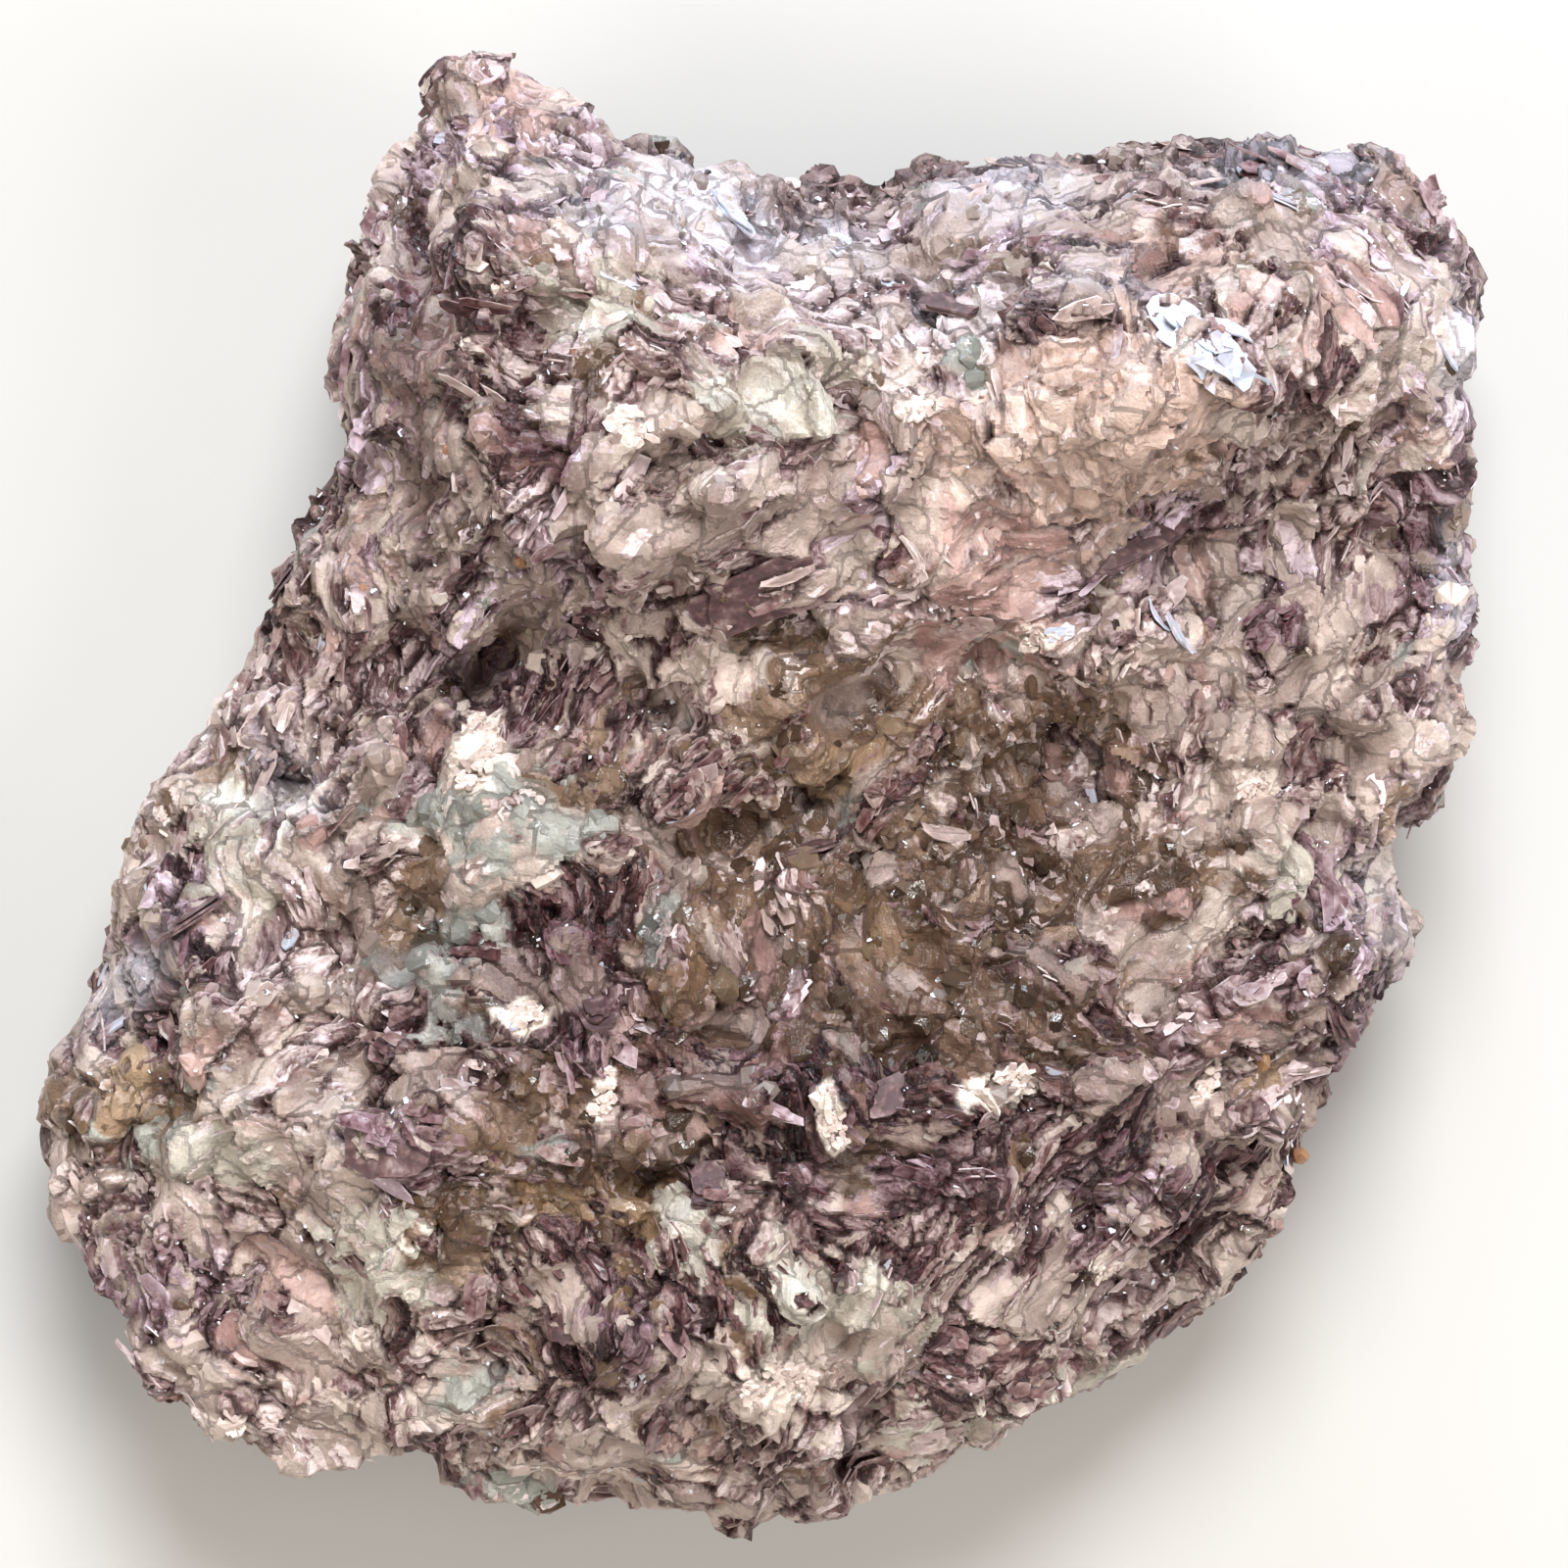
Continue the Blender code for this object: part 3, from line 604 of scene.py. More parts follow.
# Where the mica is more violet: middle and half sizes in picture pixels, turn in degrees.
violets = [
    ((520, 650), (110, 70), 50), ((1475, 480), (60, 320), 0), ((640, 230), (170, 60), -20),
    ((1390, 1000), (70, 140), 30), ((160, 1330), (120, 50), 20), ((1150, 1190), (100, 50), 44),
    ((830, 1100), (100, 50), -30), ((600, 1010), (30, 80), 10), ((880, 540), (40, 90), -10),
    ((1000, 260), (120, 40), 0), ((200, 930), (70, 50), 40), ((400, 1170), (60, 40), 0),
    ((400, 470), (60, 140), 10), ((1160, 560), (110, 30), 30), ((650, 1340), (40, 60), 10),
    ((570, 470), (60, 30), -20), ((1370, 230), (90, 60), -40), ((500, 130), (110, 60), 20),
    ((900, 1180), (90, 40), 0), ((1300, 620), (70, 60), 20),
]


def hueAt(points, keys):
    # how violet the mica is: seven tenths from the nearest of the places above, 1 / (1 + reach⁴), and three
    # from each book's own chance
    hue = np.zeros(len(points))
    for middle, half, turn in violets:
        hue = np.maximum(hue, 1 / (1 + patchReach(points, middle, half, turn) ** 4))
    return 0.30 * chance(keys, 46) + 0.70 * hue


# Painted sheens, bluish-white highlights on pale mica: middle and half sizes in picture pixels, turn in
# degrees, and their strength.
paintedSheens = [
    ((735, 225), (80, 40), -30, 0.60), ((640, 235), (80, 26), -16, 0.42), ((1030, 205), (70, 30), 10, 0.42),
    ((1476, 360), (16, 60), 0, 0.55), ((1476, 600), (14, 60), 0, 0.45), ((130, 1000), (50, 26), 40, 0.45),
    ((850, 252), (50, 26), -40, 0.40), ((1110, 300), (60, 20), 0, 0.30), ((960, 330), (60, 30), 0, 0.34),
    ((1420, 930), (30, 60), 20, 0.36), ((300, 800), (30, 60), 40, 0.26), ((1330, 170), (90, 26), 6, 0.36),
]


def paintedSheenAt(points):
    # each painted sheen's strength / (1 + reach⁴), the strongest one
    paintedSheen = np.zeros(len(points))
    for middle, half, turn, strength in paintedSheens:
        paintedSheen = np.maximum(paintedSheen, strength / (1 + patchReach(points, middle, half, turn) ** 4))
    return paintedSheen * onFront(points)


def creamAt(points):
    # most of the cover inside a cream patch and 0 outside, with an uneven edge
    uneven = 1 + unevenAt(points, "cream")
    cream = np.zeros(len(points))
    for middle, half, turn, _ in heaps["places"]:
        reach = patchReach(points, middle, half, turn) * uneven
        cream = np.maximum(cream, 1 - smooth(*heaps["edge"], reach))
    return heaps["cover"] * cream * onFront(points)


def evenQuads():
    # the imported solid's doubles are merged, and a voxel remesh spreads even quads over it
    body = bmesh.new()
    body.from_mesh(rockNode.data)
    bmesh.ops.remove_doubles(body, verts=body.verts, dist=skin["weld"])
    mesh = bpy.data.meshes.new("evenRock")
    body.to_mesh(mesh)
    body.free()
    carrier = bpy.data.objects.new("evenRock", mesh)
    bpy.context.scene.collection.objects.link(carrier)
    remesh = carrier.modifiers.new("even", "REMESH")
    remesh.mode = "VOXEL"
    remesh.voxel_size = skin["voxel"]
    shown = carrier.evaluated_get(bpy.context.evaluated_depsgraph_get())
    fine = shown.to_mesh()
    points = np.zeros(len(fine.vertices) * 3, np.float32)
    fine.vertices.foreach_get("co", points)
    corners = np.zeros(len(fine.loops), np.int32)
    fine.loops.foreach_get("vertex_index", corners)
    shown.to_mesh_clear()
    bpy.data.objects.remove(carrier)
    return points.reshape(-1, 3).astype(float), corners.reshape(-1, 4).astype(np.int64)


def edgeKeys(quads, count):
    # one whole number for each side of each quad: its lower corner · count + its higher corner
    ends = np.sort(np.stack([quads, np.roll(quads, -1, 1)], -1), -1)
    return ends[..., 0] * count + ends[..., 1]


def splitFour(points, quads, chosen):
    # each chosen quad becomes four by the middles of its edges and its own middle; a middle that lies on the
    # edge of a whole quad is pinned: it is listed with the ends of that edge, to stay between them
    picked, whole = quads[chosen], quads[~chosen]
    keys = edgeKeys(picked, len(points))
    edges, place = np.unique(keys, return_inverse=True)
    first, second = edges // len(points), edges % len(points)
    middle = len(points) + place.reshape(keys.shape)
    centre = np.broadcast_to((len(points) + len(edges) + np.arange(len(picked)))[:, None], picked.shape)
    small = np.stack([picked, middle, centre, np.roll(middle, 1, 1)], -1).reshape(-1, 4)
    allPoints = np.concatenate([points, (points[first] + points[second]) / 2, points[picked].mean(1)])
    bordering = np.isin(edges, edgeKeys(whole, len(points)))
    pinned = np.stack([len(points) + np.nonzero(bordering)[0], first[bordering], second[bordering]], 1)
    return allPoints, small, whole, pinned


def blockRise(points):
    # the rock breaks in blocks, each with a plane of its own
    look = skin["blocks"]
    cells = cellsOf(points, look["size"], look["seed"])
    return blended(cells, look["blend"], lambda place, key: facet(place, key, look["step"], look["slope"]))


def sheetRise(normals, book, flakes):
    # mica breaks along its sheets: where a sheet lies flat enough its plane is followed, so that
    # rise = -(place across the sheet) / (normal · across), and where it stands on edge it is a rib
    facing = dot(normals, book["across"])
    onEdge, flat, least, ribKept = skin["flatSheet"]

    def flakeRise(place, key):
        # rib + (plane - kept · rib) · how flat the sheet lies
        plane = np.clip(-place[:, 2] * millimetre / np.maximum(facing, least), -skin["clip"], skin["clip"])
        rib = skin["edgeStep"] * (2 * chance(key, 31) - 1)
        return rib + (plane - ribKept * rib) * smooth(onEdge, flat, facing)

    rise = blended(flakes, skin["flakeBlend"], flakeRise)
    return rise + skin["bookStep"] * (2 * chance(book["key"], 32) - 1)


def grainRise(kinds, place, keys, facets, mica):
    # mica rises as its sheets do; any other grain is a plane with smaller planes on it
    looks = np.array([(0, 0, 0, 0, 0)] + [skin["looks"][kind] for kind in patches])
    offset, step, slope, fineStep, fineSlope = looks[kinds].T
    small = blended(facets, skin["facetBlend"], lambda p, k: facet(p, k, fineStep, fineSlope))
    return np.where(kinds == 0, mica, offset + facet(place, keys, step, slope) + small)


def seamsOf(grain, book, flakes, inMica):
    # how deep in a seam a place lies, 1 on its line: between flakes, books and grains, and the deep crevices
    # between some of the books; the skin is cut in along them, and they darken its colour as painted shade
    deep = skin["deep"]
    seam = 1 - smooth(0, skin["gapWidth"], flakes["border"])
    seam = seam * (chance(flakes["key"], 33) < skin["gapShare"])
    seam = np.maximum(seam, 1 - smooth(0, skin["seam"], book["border"])) * inMica
    seam = np.maximum(seam, skin["grainSeam"] * (1 - smooth(0, skin["seam"], grain["border"])))
    crevice = (1 - smooth(0, deep["width"], book["border"])) * (book["split"] < deep["share"])
    return seam, crevice


def skinColours(points, grain, book, share):
    # share · own colour + (1 - share) · the next one's, over what of both is grain, with a trace of feldspar
    ownPart = (share * (grain["kind"] > 0))[:, None]
    otherPart = ((1 - share) * (grain["otherKind"] > 0))[:, None]
    shades = ownPart * grainShade(grain["kind"], grain["key"])
    shades += otherPart * grainShade(grain["otherKind"], grain["otherKey"])
    shades += skin["trace"] * grainShade(np.full(len(points), kindNumber("feldspar")), book["key"])
    return shades / (ownPart + otherPart + skin["trace"])


def brokenSkin():
    # every point of the even quads goes out along its normal by
    # share · rise of its grain + (1 - share) · rise of the next + block's plane - seams - crevices
    points, quads = evenQuads()
    print("even quads:", len(quads))
    before, after = skin["rounds"]
    facing = normalsOf(points, quads, before)[quads].mean(1)[:, 2]
    front = (facing > skin["fineFacing"]) & (points[quads].mean(1)[:, 2] > skin["fineAbove"])
    points, small, whole, pinned = splitFour(points, quads, front)
    normals = normalsOf(points, small, after)
    lost = np.linalg.norm(normals, axis=1) < 0.5  # points that only the whole quads have
    normals[lost] = normalsOf(points, whole, before)[lost]
    wide = wideAt(points)
    grain = grainsAt(points, wide)
    book = bookAt(wide)
    place = book["local"] + domains["flakeShift"]
    flakes = cellsOf(place, np.array(domains["flake"]), domains["flakeSeed"], familyOf(book["key"]))
    facets = cellsOf(points, skin["facetSize"], skin["facetSeed"])
    mica = sheetRise(normals, book, flakes)
    share = ownShare(grain, skin["grainBlend"])
    rise = share * grainRise(grain["kind"], grain["own"], grain["key"], facets, mica)
    rise += (1 - share) * grainRise(grain["otherKind"], grain["other"], grain["otherKey"], facets, mica)
    inMica = share * (grain["kind"] == 0) + (1 - share) * (grain["otherKind"] == 0)
    seam, crevice = seamsOf(grain, book, flakes, inMica)
    deep = skin["deep"]
    cut = deep["depth"] * crevice * (deep["inGrain"] + (1 - deep["inGrain"]) * inMica)
    rise += blockRise(points) - skin["gap"] * seam - cut
    moved = points + normals * rise[:, None]
    moved[pinned[:, 0]] = (moved[pinned[:, 1]] + moved[pinned[:, 2]]) / 2
    moved[:, 2] = np.maximum(moved[:, 2], skin["floorGap"])
    glassy = np.isin(grain["kind"], [kindNumber(kind) for kind in skin["glassy"]])
    flakeTone = blended(flakes, skin["flakeBlend"], lambda place, key: chance(key, 34))
    # painted shade: how much the crevices darken the colour, less in the grains than in the mica
    dark = deep["paintedShadeInGrain"] + (1 - deep["paintedShadeInGrain"]) * inMica
    attributes = {
        "grainColour": skinColours(points, grain, book, share),
        "mica": inMica,
        "gloss": share * glassy,
        "tone": book["tone"] + skin["toneSpread"] * (flakeTone - 0.5),
        "bookHue": hueAt(points, book["key"]),
        # gap paints shade into the seams and crevices, shade holds the stains and painted shade, and sheen
        # is a painted highlight
        "gap": np.maximum(seam, crevice * dark),
        "shade": shadeAt(points),
        "cream": creamAt(points),
        "paintedSheen": paintedSheenAt(points),
    }
    # books start at seeded places of the pattern, so that no two next to each other look the same
    shift = np.stack([chance(book["key"], salt) for salt in (41, 42, 43)], 1) * domains["patternShift"]
    for axis, label in enumerate(("bookAlong", "bookOut", "bookAcross")):
        attributes[label] = book["local"][:, axis] + shift[:, axis]
    kinds = {kind: (grain["kind"] == kindNumber(kind)).astype(float) for kind in patches}
    return moved, normals, small, whole, np.concatenate([small, whole]), attributes, kinds


skinPoints, skinNormals, fineQuads, wholeQuads, skinQuads, skinLook, skinKinds = brokenSkin()
print("rock skin worked out")


def lookingUp(low, high):
    # 0 to 1 as the skin's normal turns up from low to high, and with height on the sides
    return smooth(low, high, skinNormals[:, 2]) * smooth(*skin["sides"], skinPoints[:, 2])


def placesOnSkin(count, weights, seed, apart):
    # seeded places on the skin, as likely as the area times the weight, and at most one to a cube of size
    # apart; a place in a quad is its corners' mean by u and v
    rng = np.random.default_rng(seed)
    a, b, c, d = (skinPoints[skinQuads[:, k]] for k in range(4))
    area = np.linalg.norm(np.cross(c - a, d - b), axis=1) / 2
    odds = area * weights[skinQuads].mean(1)
    chosen = rng.choice(len(skinQuads), count, p=odds / odds.sum())
    u, v = rng.random((2, count, 1))
    corners = skinPoints[skinQuads[chosen]]
    places = corners[:, 0] * (1 - u) * (1 - v) + corners[:, 1] * u * (1 - v)
    places += corners[:, 2] * u * v + corners[:, 3] * (1 - u) * v
    _, first = np.unique(np.floor(places / apart).astype(np.int64), axis=0, return_index=True)
    kept = np.sort(first)
    return places[kept], skinNormals[skinQuads[chosen[kept], 0]]


def skinNear(middle, reach):
    # a place on the skin as seen from above, and the mean normal within this reach of it; its height is a
    # percentile of the heights there
    spot = onPlan(middle)
    near = np.hypot(*(skinPoints[:, :2] - spot).T) < reach
    facing, percentile = skin["near"]
    near &= (skinNormals[:, 2] > facing) & (skinPoints[:, 2] > grains["frontFrom"])
    height = np.percentile(skinPoints[near, 2], percentile)
    return np.append(spot, height), unit(skinNormals[near].mean(0))


flakeShape = {"shake": 0.3, "boxed": 0.7, "outline": (0.78, 1.12)}  # corner's shake, power, uneven reach


def flakePoints(rng, flakes, corners, outline):
    # a flake is a flat plate with an uneven outline, bent a little: by the angle round it and an uneven
    # reach, x = a·reach·sgn(cos)|cos|^q, y = b·reach·sgn(sin)|sin|^q, height = ±thickness + bend·x², along
    # its own three ways; the rows are the middle of the top, the top's rim and the foot's rim
    count = len(flakes["middle"])
    shake = rng.uniform(-flakeShape["shake"], flakeShape["shake"], (count, corners))
    angle = (np.arange(corners) + 0.5 + shake) * 2 * math.pi / corners
    reach = rng.uniform(*outline, (count, corners))
    x, y = (np.sign(f(angle)) * np.abs(f(angle)) ** flakeShape["boxed"] * reach for f in (np.cos, np.sin))
    lift = flakes["bend"][:, None] * x**2
    thick = flakes["halfThick"][:, None]
    length, depth = flakes["halfLength"][:, None], flakes["halfDepth"][:, None]
    rim = flakes["middle"][:, None] + flakes["along"][:, None] * (x * length)[..., None]
    rim = rim + flakes["out"][:, None] * (y * depth)[..., None]
    upper = rim + flakes["across"][:, None] * (lift + thick)[..., None]
    lower = rim + flakes["across"][:, None] * (lift - thick)[..., None]
    top = flakes["middle"][:, None] + flakes["across"][:, None] * thick[..., None]
    points = np.concatenate([top, upper, lower], 1)
    k = np.arange(corners)
    after = (k + 1) % corners
    fan = np.stack([0 * k, 1 + k, 1 + after], 1)
    sideA = np.stack([1 + k, 1 + corners + k, 1 + corners + after], 1)
    sideB = np.stack([1 + k, 1 + corners + after, 1 + after], 1)
    foot = np.stack([0 * k[2:] + 1 + corners, 1 + corners + k[2:], corners + k[2:]], 1)
    pattern = np.concatenate([fan, sideA, sideB, foot])
    faces = pattern[None] + (np.arange(count) * points.shape[1])[:, None, None]
    low = points[:, :, 2].min(1)
    points[:, :, 2] += np.maximum(skin["floorGap"] - low, 0)[:, None]
    rim = np.tile(np.concatenate([[0.0], np.ones(2 * corners)]), count)
    return points.reshape(-1, 3), faces.reshape(-1, 3), rim


# Mica flakes on the skin, one or a few together, between the skin's own way and that of their book. Sizes in
# metres.
books = {
    "tries": 2500,
    "seed": 61,
    "apart": 0.0013,
    "flakes": (1, 3),
    "corners": 8,
    "gap": (0.00030, 0.00070),
    "stair": (-0.00060, 0.00060),
    "halfLength": (0.0008, 0.0020),
    "halfDepth": (0.00025, 0.00070),
    "halfThick": (0.00003, 0.00006),
    "lengthSpread": (0.6, 1.1),  # of the flakes of one book
    "proud": (-0.00010, 0.00005),
    "bend": 0.00018,
    "lean": (0.40, 0.95),  # 0 along the skin, 1 along the book
    "flatten": 0.8,  # how much of the book's way out of the skin is taken off
    "sway": (0.10, 0.05),  # how far a book and a flake turn
    "roll": 0.14,
    "slide": 0.25,  # of half a flake's length
    "toneSpread": 0.24,
    "toneMiddle": 0.42,
    "pale": 0.50,  # tone from which a flake is pale
    # silver flakes are pale mica washed bluish white, partly as a painted glint
    "silver": 0.03,  # share of silver ones
    "silverLength": 0.55,
    "weights": (0.03, 0.25),  # odds off mica, and on the flanks
    "facing": (-0.1, 0.3),  # how far up the skin faces at the flanks' end and on the broad face
    "overhang": 0.8,  # share of a flake's length that counts for how far it stands out
}


def growBooks():
    # a flake's way across is (1 - lean) · normal + lean · its book's, square to its way along the book; its
    # middle lies under the skin by as much as its outer edge would stand out
    rng = np.random.default_rng(books["seed"])
    bare, flank = books["weights"]
    weights = (bare + skinLook["mica"] ** 2) * (flank + (1 - flank) * lookingUp(*books["facing"]))
    places, normals = placesOnSkin(books["tries"], weights, books["seed"], books["apart"])
    book = bookAt(wideAt(places))
    count = rng.integers(*books["flakes"], len(places))
    owner = np.repeat(np.arange(len(places)), count)
    number = np.arange(len(owner)) - np.repeat(np.cumsum(count) - count, count)
    centred = (number - (count[owner] - 1) / 2)[:, None]
    bookSway, flakeSway = books["sway"]
    along = book["along"] - books["flatten"] * normals * dot(book["along"], normals)[:, None]
    along = unit(unit(along) + rng.normal(size=(len(places), 3)) * bookSway)[owner]
    along = unit(along + rng.normal(size=(len(owner), 3)) * flakeSway)
    up = normals[owner]
    lean = rng.uniform(*books["lean"], len(places))[owner, None]
    across = up * (1 - lean) + book["across"][owner] * lean
    across += np.cross(along, up) * (rng.normal(size=len(owner)) * books["roll"])[:, None]
    across = unit(across - along * dot(across, along)[:, None])
    out = np.cross(across, along)
    gap = rng.uniform(*books["gap"], len(places))[owner, None]
    stair = rng.uniform(*books["stair"], len(places))[owner, None]
    halfLength = rng.uniform(*books["halfLength"], len(places))[owner]
    halfLength = halfLength * rng.uniform(*books["lengthSpread"], len(owner))
    halfDepth = rng.uniform(*books["halfDepth"], len(owner))
    lone = rng.random(len(owner))
    halfLength = np.where(lone < books["silver"], books["silverLength"] * halfLength, halfLength)
    highest = np.abs(halfDepth * dot(out, up))
    highest += np.abs(books["overhang"] * halfLength * dot(along, up))
    proud = rng.uniform(*books["proud"], len(owner))
    sideways = unit(np.cross(up, along))
    middle = places[owner] + sideways * centred * gap + along * centred * stair
    middle = middle + up * (proud - highest)[:, None]
    middle += along * (rng.normal(size=len(owner)) * books["slide"] * halfLength)[:, None]
    return rng, {
        "middle": middle, "along": along, "out": out, "across": across,
        "halfLength": halfLength, "halfDepth": halfDepth,
        "halfThick": rng.uniform(*books["halfThick"], len(owner)),
        "bend": rng.normal(size=len(owner)) * books["bend"],
        "tone": book["tone"][owner] + books["toneSpread"] * (rng.random(len(owner)) - books["toneMiddle"]),
        "lone": lone, "bookHue": hueAt(places, book["key"])[owner],
    }


def flatPiece(name, points, faces, attributes):
    # a piece whose faces all stay flat
    piece = newPiece(name, points, faces, attributes)
    piece.data.shade_flat()
    return piece


def flakePiece(name, rng, flakes, corners, outline=flakeShape["outline"]):
    # each corner carries its flake's look, and its place in the flake's own frame in millimetres, which
    # starts at a seeded place of the pattern
    points, faces, rim = flakePoints(rng, flakes, corners, outline)
    each = 1 + 2 * corners
    middle = np.repeat(flakes["middle"], each, 0)
    shift = domains["patternShift"] * rng.random((len(flakes["tone"]), 3))
    attributes = {"rim": rim}
    for label in ("tone", "bookHue"):
        attributes[label] = np.repeat(flakes[label], each)
    ways = (("bookAlong", "along"), ("bookOut", "out"), ("bookAcross", "across"))
    for axis, (label, way) in enumerate(ways):
        local = dot(points - middle, np.repeat(flakes[way], each, 0)) / millimetre
        attributes[label] = local + np.repeat(shift[:, axis], each)
    return flatPiece(name, points, faces, attributes)


# Plates that stand out in the picture: middle and half sizes in picture pixels, the way they run in degrees,
# how steeply they stand, and how many lie one on the other.
plates = {
    # the silver plates are pale mica whose bluish-white wash is partly a painted reflection of the light
    "silverPlates": {
        "tone": 0.9, "hue": 0.6, "corners": 15, "outline": (0.66, 1.14), "seed": 91, "halfThick": 0.00006,
        "places": [
            ((1180, 336), (32, 24), -50, 5, 1), ((1206, 352), (46, 18), -50, 8, 1),
            ((1226, 372), (54, 20), -50, 4, 1), ((1250, 392), (44, 16), -48, 8, 1),
            ((1262, 412), (34, 14), -46, 6, 1), ((1196, 372), (40, 14), -50, 8, 1),
            ((1222, 402), (44, 12), -52, 10, 1), ((1240, 350), (26, 10), -46, 12, 1),
            ((748, 222), (30, 14), -40, 20, 2), ((851, 252), (22, 16), -60, 20, 2),
            ((1297, 210), (24, 10), -30, 24, 2), ((1474, 360), (12, 26), 0, 30, 1),
            ((1474, 590), (11, 30), 0, 30, 1), ((1197, 649), (26, 10), -46, 16, 2),
            ((1079, 649), (16, 10), 20, 20, 1), ((255, 769), (16, 9), 30, 30, 1),
            ((96, 992), (20, 9), 40, 20, 1), ((111, 1049), (18, 9), 20, 20, 1),
            ((300, 958), (12, 8), 60, 30, 1), ((1174, 632), (18, 8), -50, 20, 1),
            ((640, 300), (26, 8), -26, 24, 1), ((905, 300), (20, 8), -50, 30, 1),
            ((1420, 300), (14, 8), 50, 30, 1),
        ],
    },
    "plumPlates": {
        "tone": 0.20, "hue": 0.1, "corners": 17, "outline": (0.80, 1.10), "seed": 93, "halfThick": 0.00007,
        "places": [
            ((770, 614), (62, 40), 8, 4, 1), ((800, 604), (44, 30), -10, 7, 1),
            ((742, 624), (34, 24), 20, 8, 1), ((400, 1164), (50, 34), -10, 10, 2),
            ((902, 1111), (30, 18), 20, 20, 2), ((578, 1342), (22, 24), 0, 24, 2),
            ((965, 321), (36, 22), -30, 24, 2), ((284, 591), (20, 30), 10, 30, 2),
            ((725, 1195), (34, 26), -60, 30, 3), ((650, 1350), (20, 44), 14, 44, 3),
            ((200, 930), (46, 26), 40, 40, 3), ((610, 1015), (18, 46), 16, 46, 3),
            ((1371, 1030), (20, 50), -18, 44, 3), ((1160, 565), (66, 14), 10, 60, 2),
            ((820, 860), (34, 24), 30, 30, 2),
        ],
    },
}


# How plates lie on each other: each is smaller by the step, and slips and turns a little. Bends in metres.
plateStack = {
    "near": 0.7, "step": 0.16, "slip": 0.08, "gap": 2.2, "sunk": 0.6, "turn": 0.06, "thickness": (0.8, 1.3),
    "bend": 0.00010, "toneSpread": 0.16,
}


def platePiece(name, look):
    # a plate's way across is normal · cos + side · sin of its lean, and its edge is sunk by the half depth ·
    # sin; layer n lies on top by n · gap · half the thickness
    rng = np.random.default_rng(look["seed"])
    rows = []
    for middle, half, way, stand, layers in look["places"]:
        spot, up = skinNear(middle, plateStack["near"] * max(half) * picture["pixel"])
        angle, lean = math.radians(way), math.radians(stand)
        along = np.array([math.cos(angle), math.sin(angle), 0])
        along = unit(along - up * dot(along, up))
        side = np.cross(up, along)
        across = up * math.cos(lean) + side * math.sin(lean)
        out = np.cross(across, along)
        for layer in range(layers):
            size = (1 - plateStack["step"] * layer) * np.array(half) * picture["pixel"]
            shift = rng.normal(size=2) * plateStack["slip"] * size
            place = spot + across * layer * plateStack["gap"] * look["halfThick"]
            place = place + along * shift[0] + out * shift[1]
            place -= up * size[1] * math.sin(lean) * plateStack["sunk"]
            turn = plateStack["turn"] * rng.normal()
            rows.append((place, unit(along + out * turn), unit(out - along * turn), across, size))
    places, along, out, across, sizes = (np.array(column) for column in zip(*rows))
    count = len(rows)
    flakes = {
        "middle": places, "along": along, "out": out, "across": across,
        "halfLength": sizes[:, 0], "halfDepth": sizes[:, 1],
        "halfThick": look["halfThick"] * rng.uniform(*plateStack["thickness"], count),
        "bend": rng.normal(size=count) * plateStack["bend"],
        "tone": look["tone"] + plateStack["toneSpread"] * (rng.random(count) - 0.5),
        "bookHue": np.full(count, look["hue"]),
    }
    return flakePiece(name, rng, flakes, look["corners"], look["outline"])


def heapPiece(name):
    # the flakes of a heap lie over its ellipse, lower towards its rim: height = h·(1 - far²), and face
    # roughly the way that the skin faces there
    rng = np.random.default_rng(heaps["seed"])
    middles, ups = [], []
    for place, half, turn, count in heaps["places"]:
        reach = np.array(half) * picture["pixel"]
        middle, up = skinNear(place, reach.mean())
        c, s = math.cos(math.radians(turn)), math.sin(math.radians(turn))
        along = unit(np.array([c, s, 0]) - up * dot(np.array([c, s, 0]), up))
        sideways = np.cross(up, along)
        angle, far = rng.uniform(0, 2 * math.pi, count), np.sqrt(rng.random(count))
        spread = (reach[0] * far * np.cos(angle))[:, None] * along
        spread += (reach[1] * far * np.sin(angle))[:, None] * sideways
        middles.append(middle + spread + up * (heaps["height"] * (1 - far**2))[:, None])
        ups.append(np.tile(up, (count, 1)))
    middle, up = np.concatenate(middles), np.concatenate(ups)
    count = len(middle)
    across = unit(up + heaps["scatter"] * rng.normal(size=(count, 3)))
    along = unit(np.cross(across, rng.normal(size=(count, 3))))
    flakes = {
        "middle": middle, "along": along, "out": np.cross(across, along), "across": across,
        "halfLength": rng.uniform(*heaps["halfLength"], count),
        "halfDepth": rng.uniform(*heaps["halfDepth"], count),
        "halfThick": rng.uniform(*heaps["halfThick"], count),
        "bend": rng.normal(size=count) * heaps["bend"],
        "tone": rng.uniform(*heaps["tone"], count), "bookHue": np.zeros(count),
    }
    return flakePiece(name, rng, flakes, heaps["corners"])


# Small grains set into the skin: which minerals they lie in, half sizes in metres and how far they are sunk.
# Some rusty and black specks are among the feldspar.
lumps = {
    "feldsparLumps": {
        "seed": 101, "tries": 1300, "apart": 0.0012, "kinds": ("feldspar", "pink"),
        "half": (0.0004, 0.0012), "sunk": (0.72, 0.94), "specks": True,
    },
    "quartzLumps": {
        "seed": 102, "tries": 1000, "apart": 0.0011, "kinds": ("smoky", "blue", "amber"),
        "half": (0.0004, 0.0013), "sunk": (0.66, 0.92), "specks": False,
    },
}
lumpShape = {
    "rings": 3, "around": 6, "shake": 0.50, "reach": (0.74, 1.0), "boxed": 0.8, "spread": (0.6, 1.2),
    "speckSunk": 0.6, "facing": (0.0, 0.4),
}

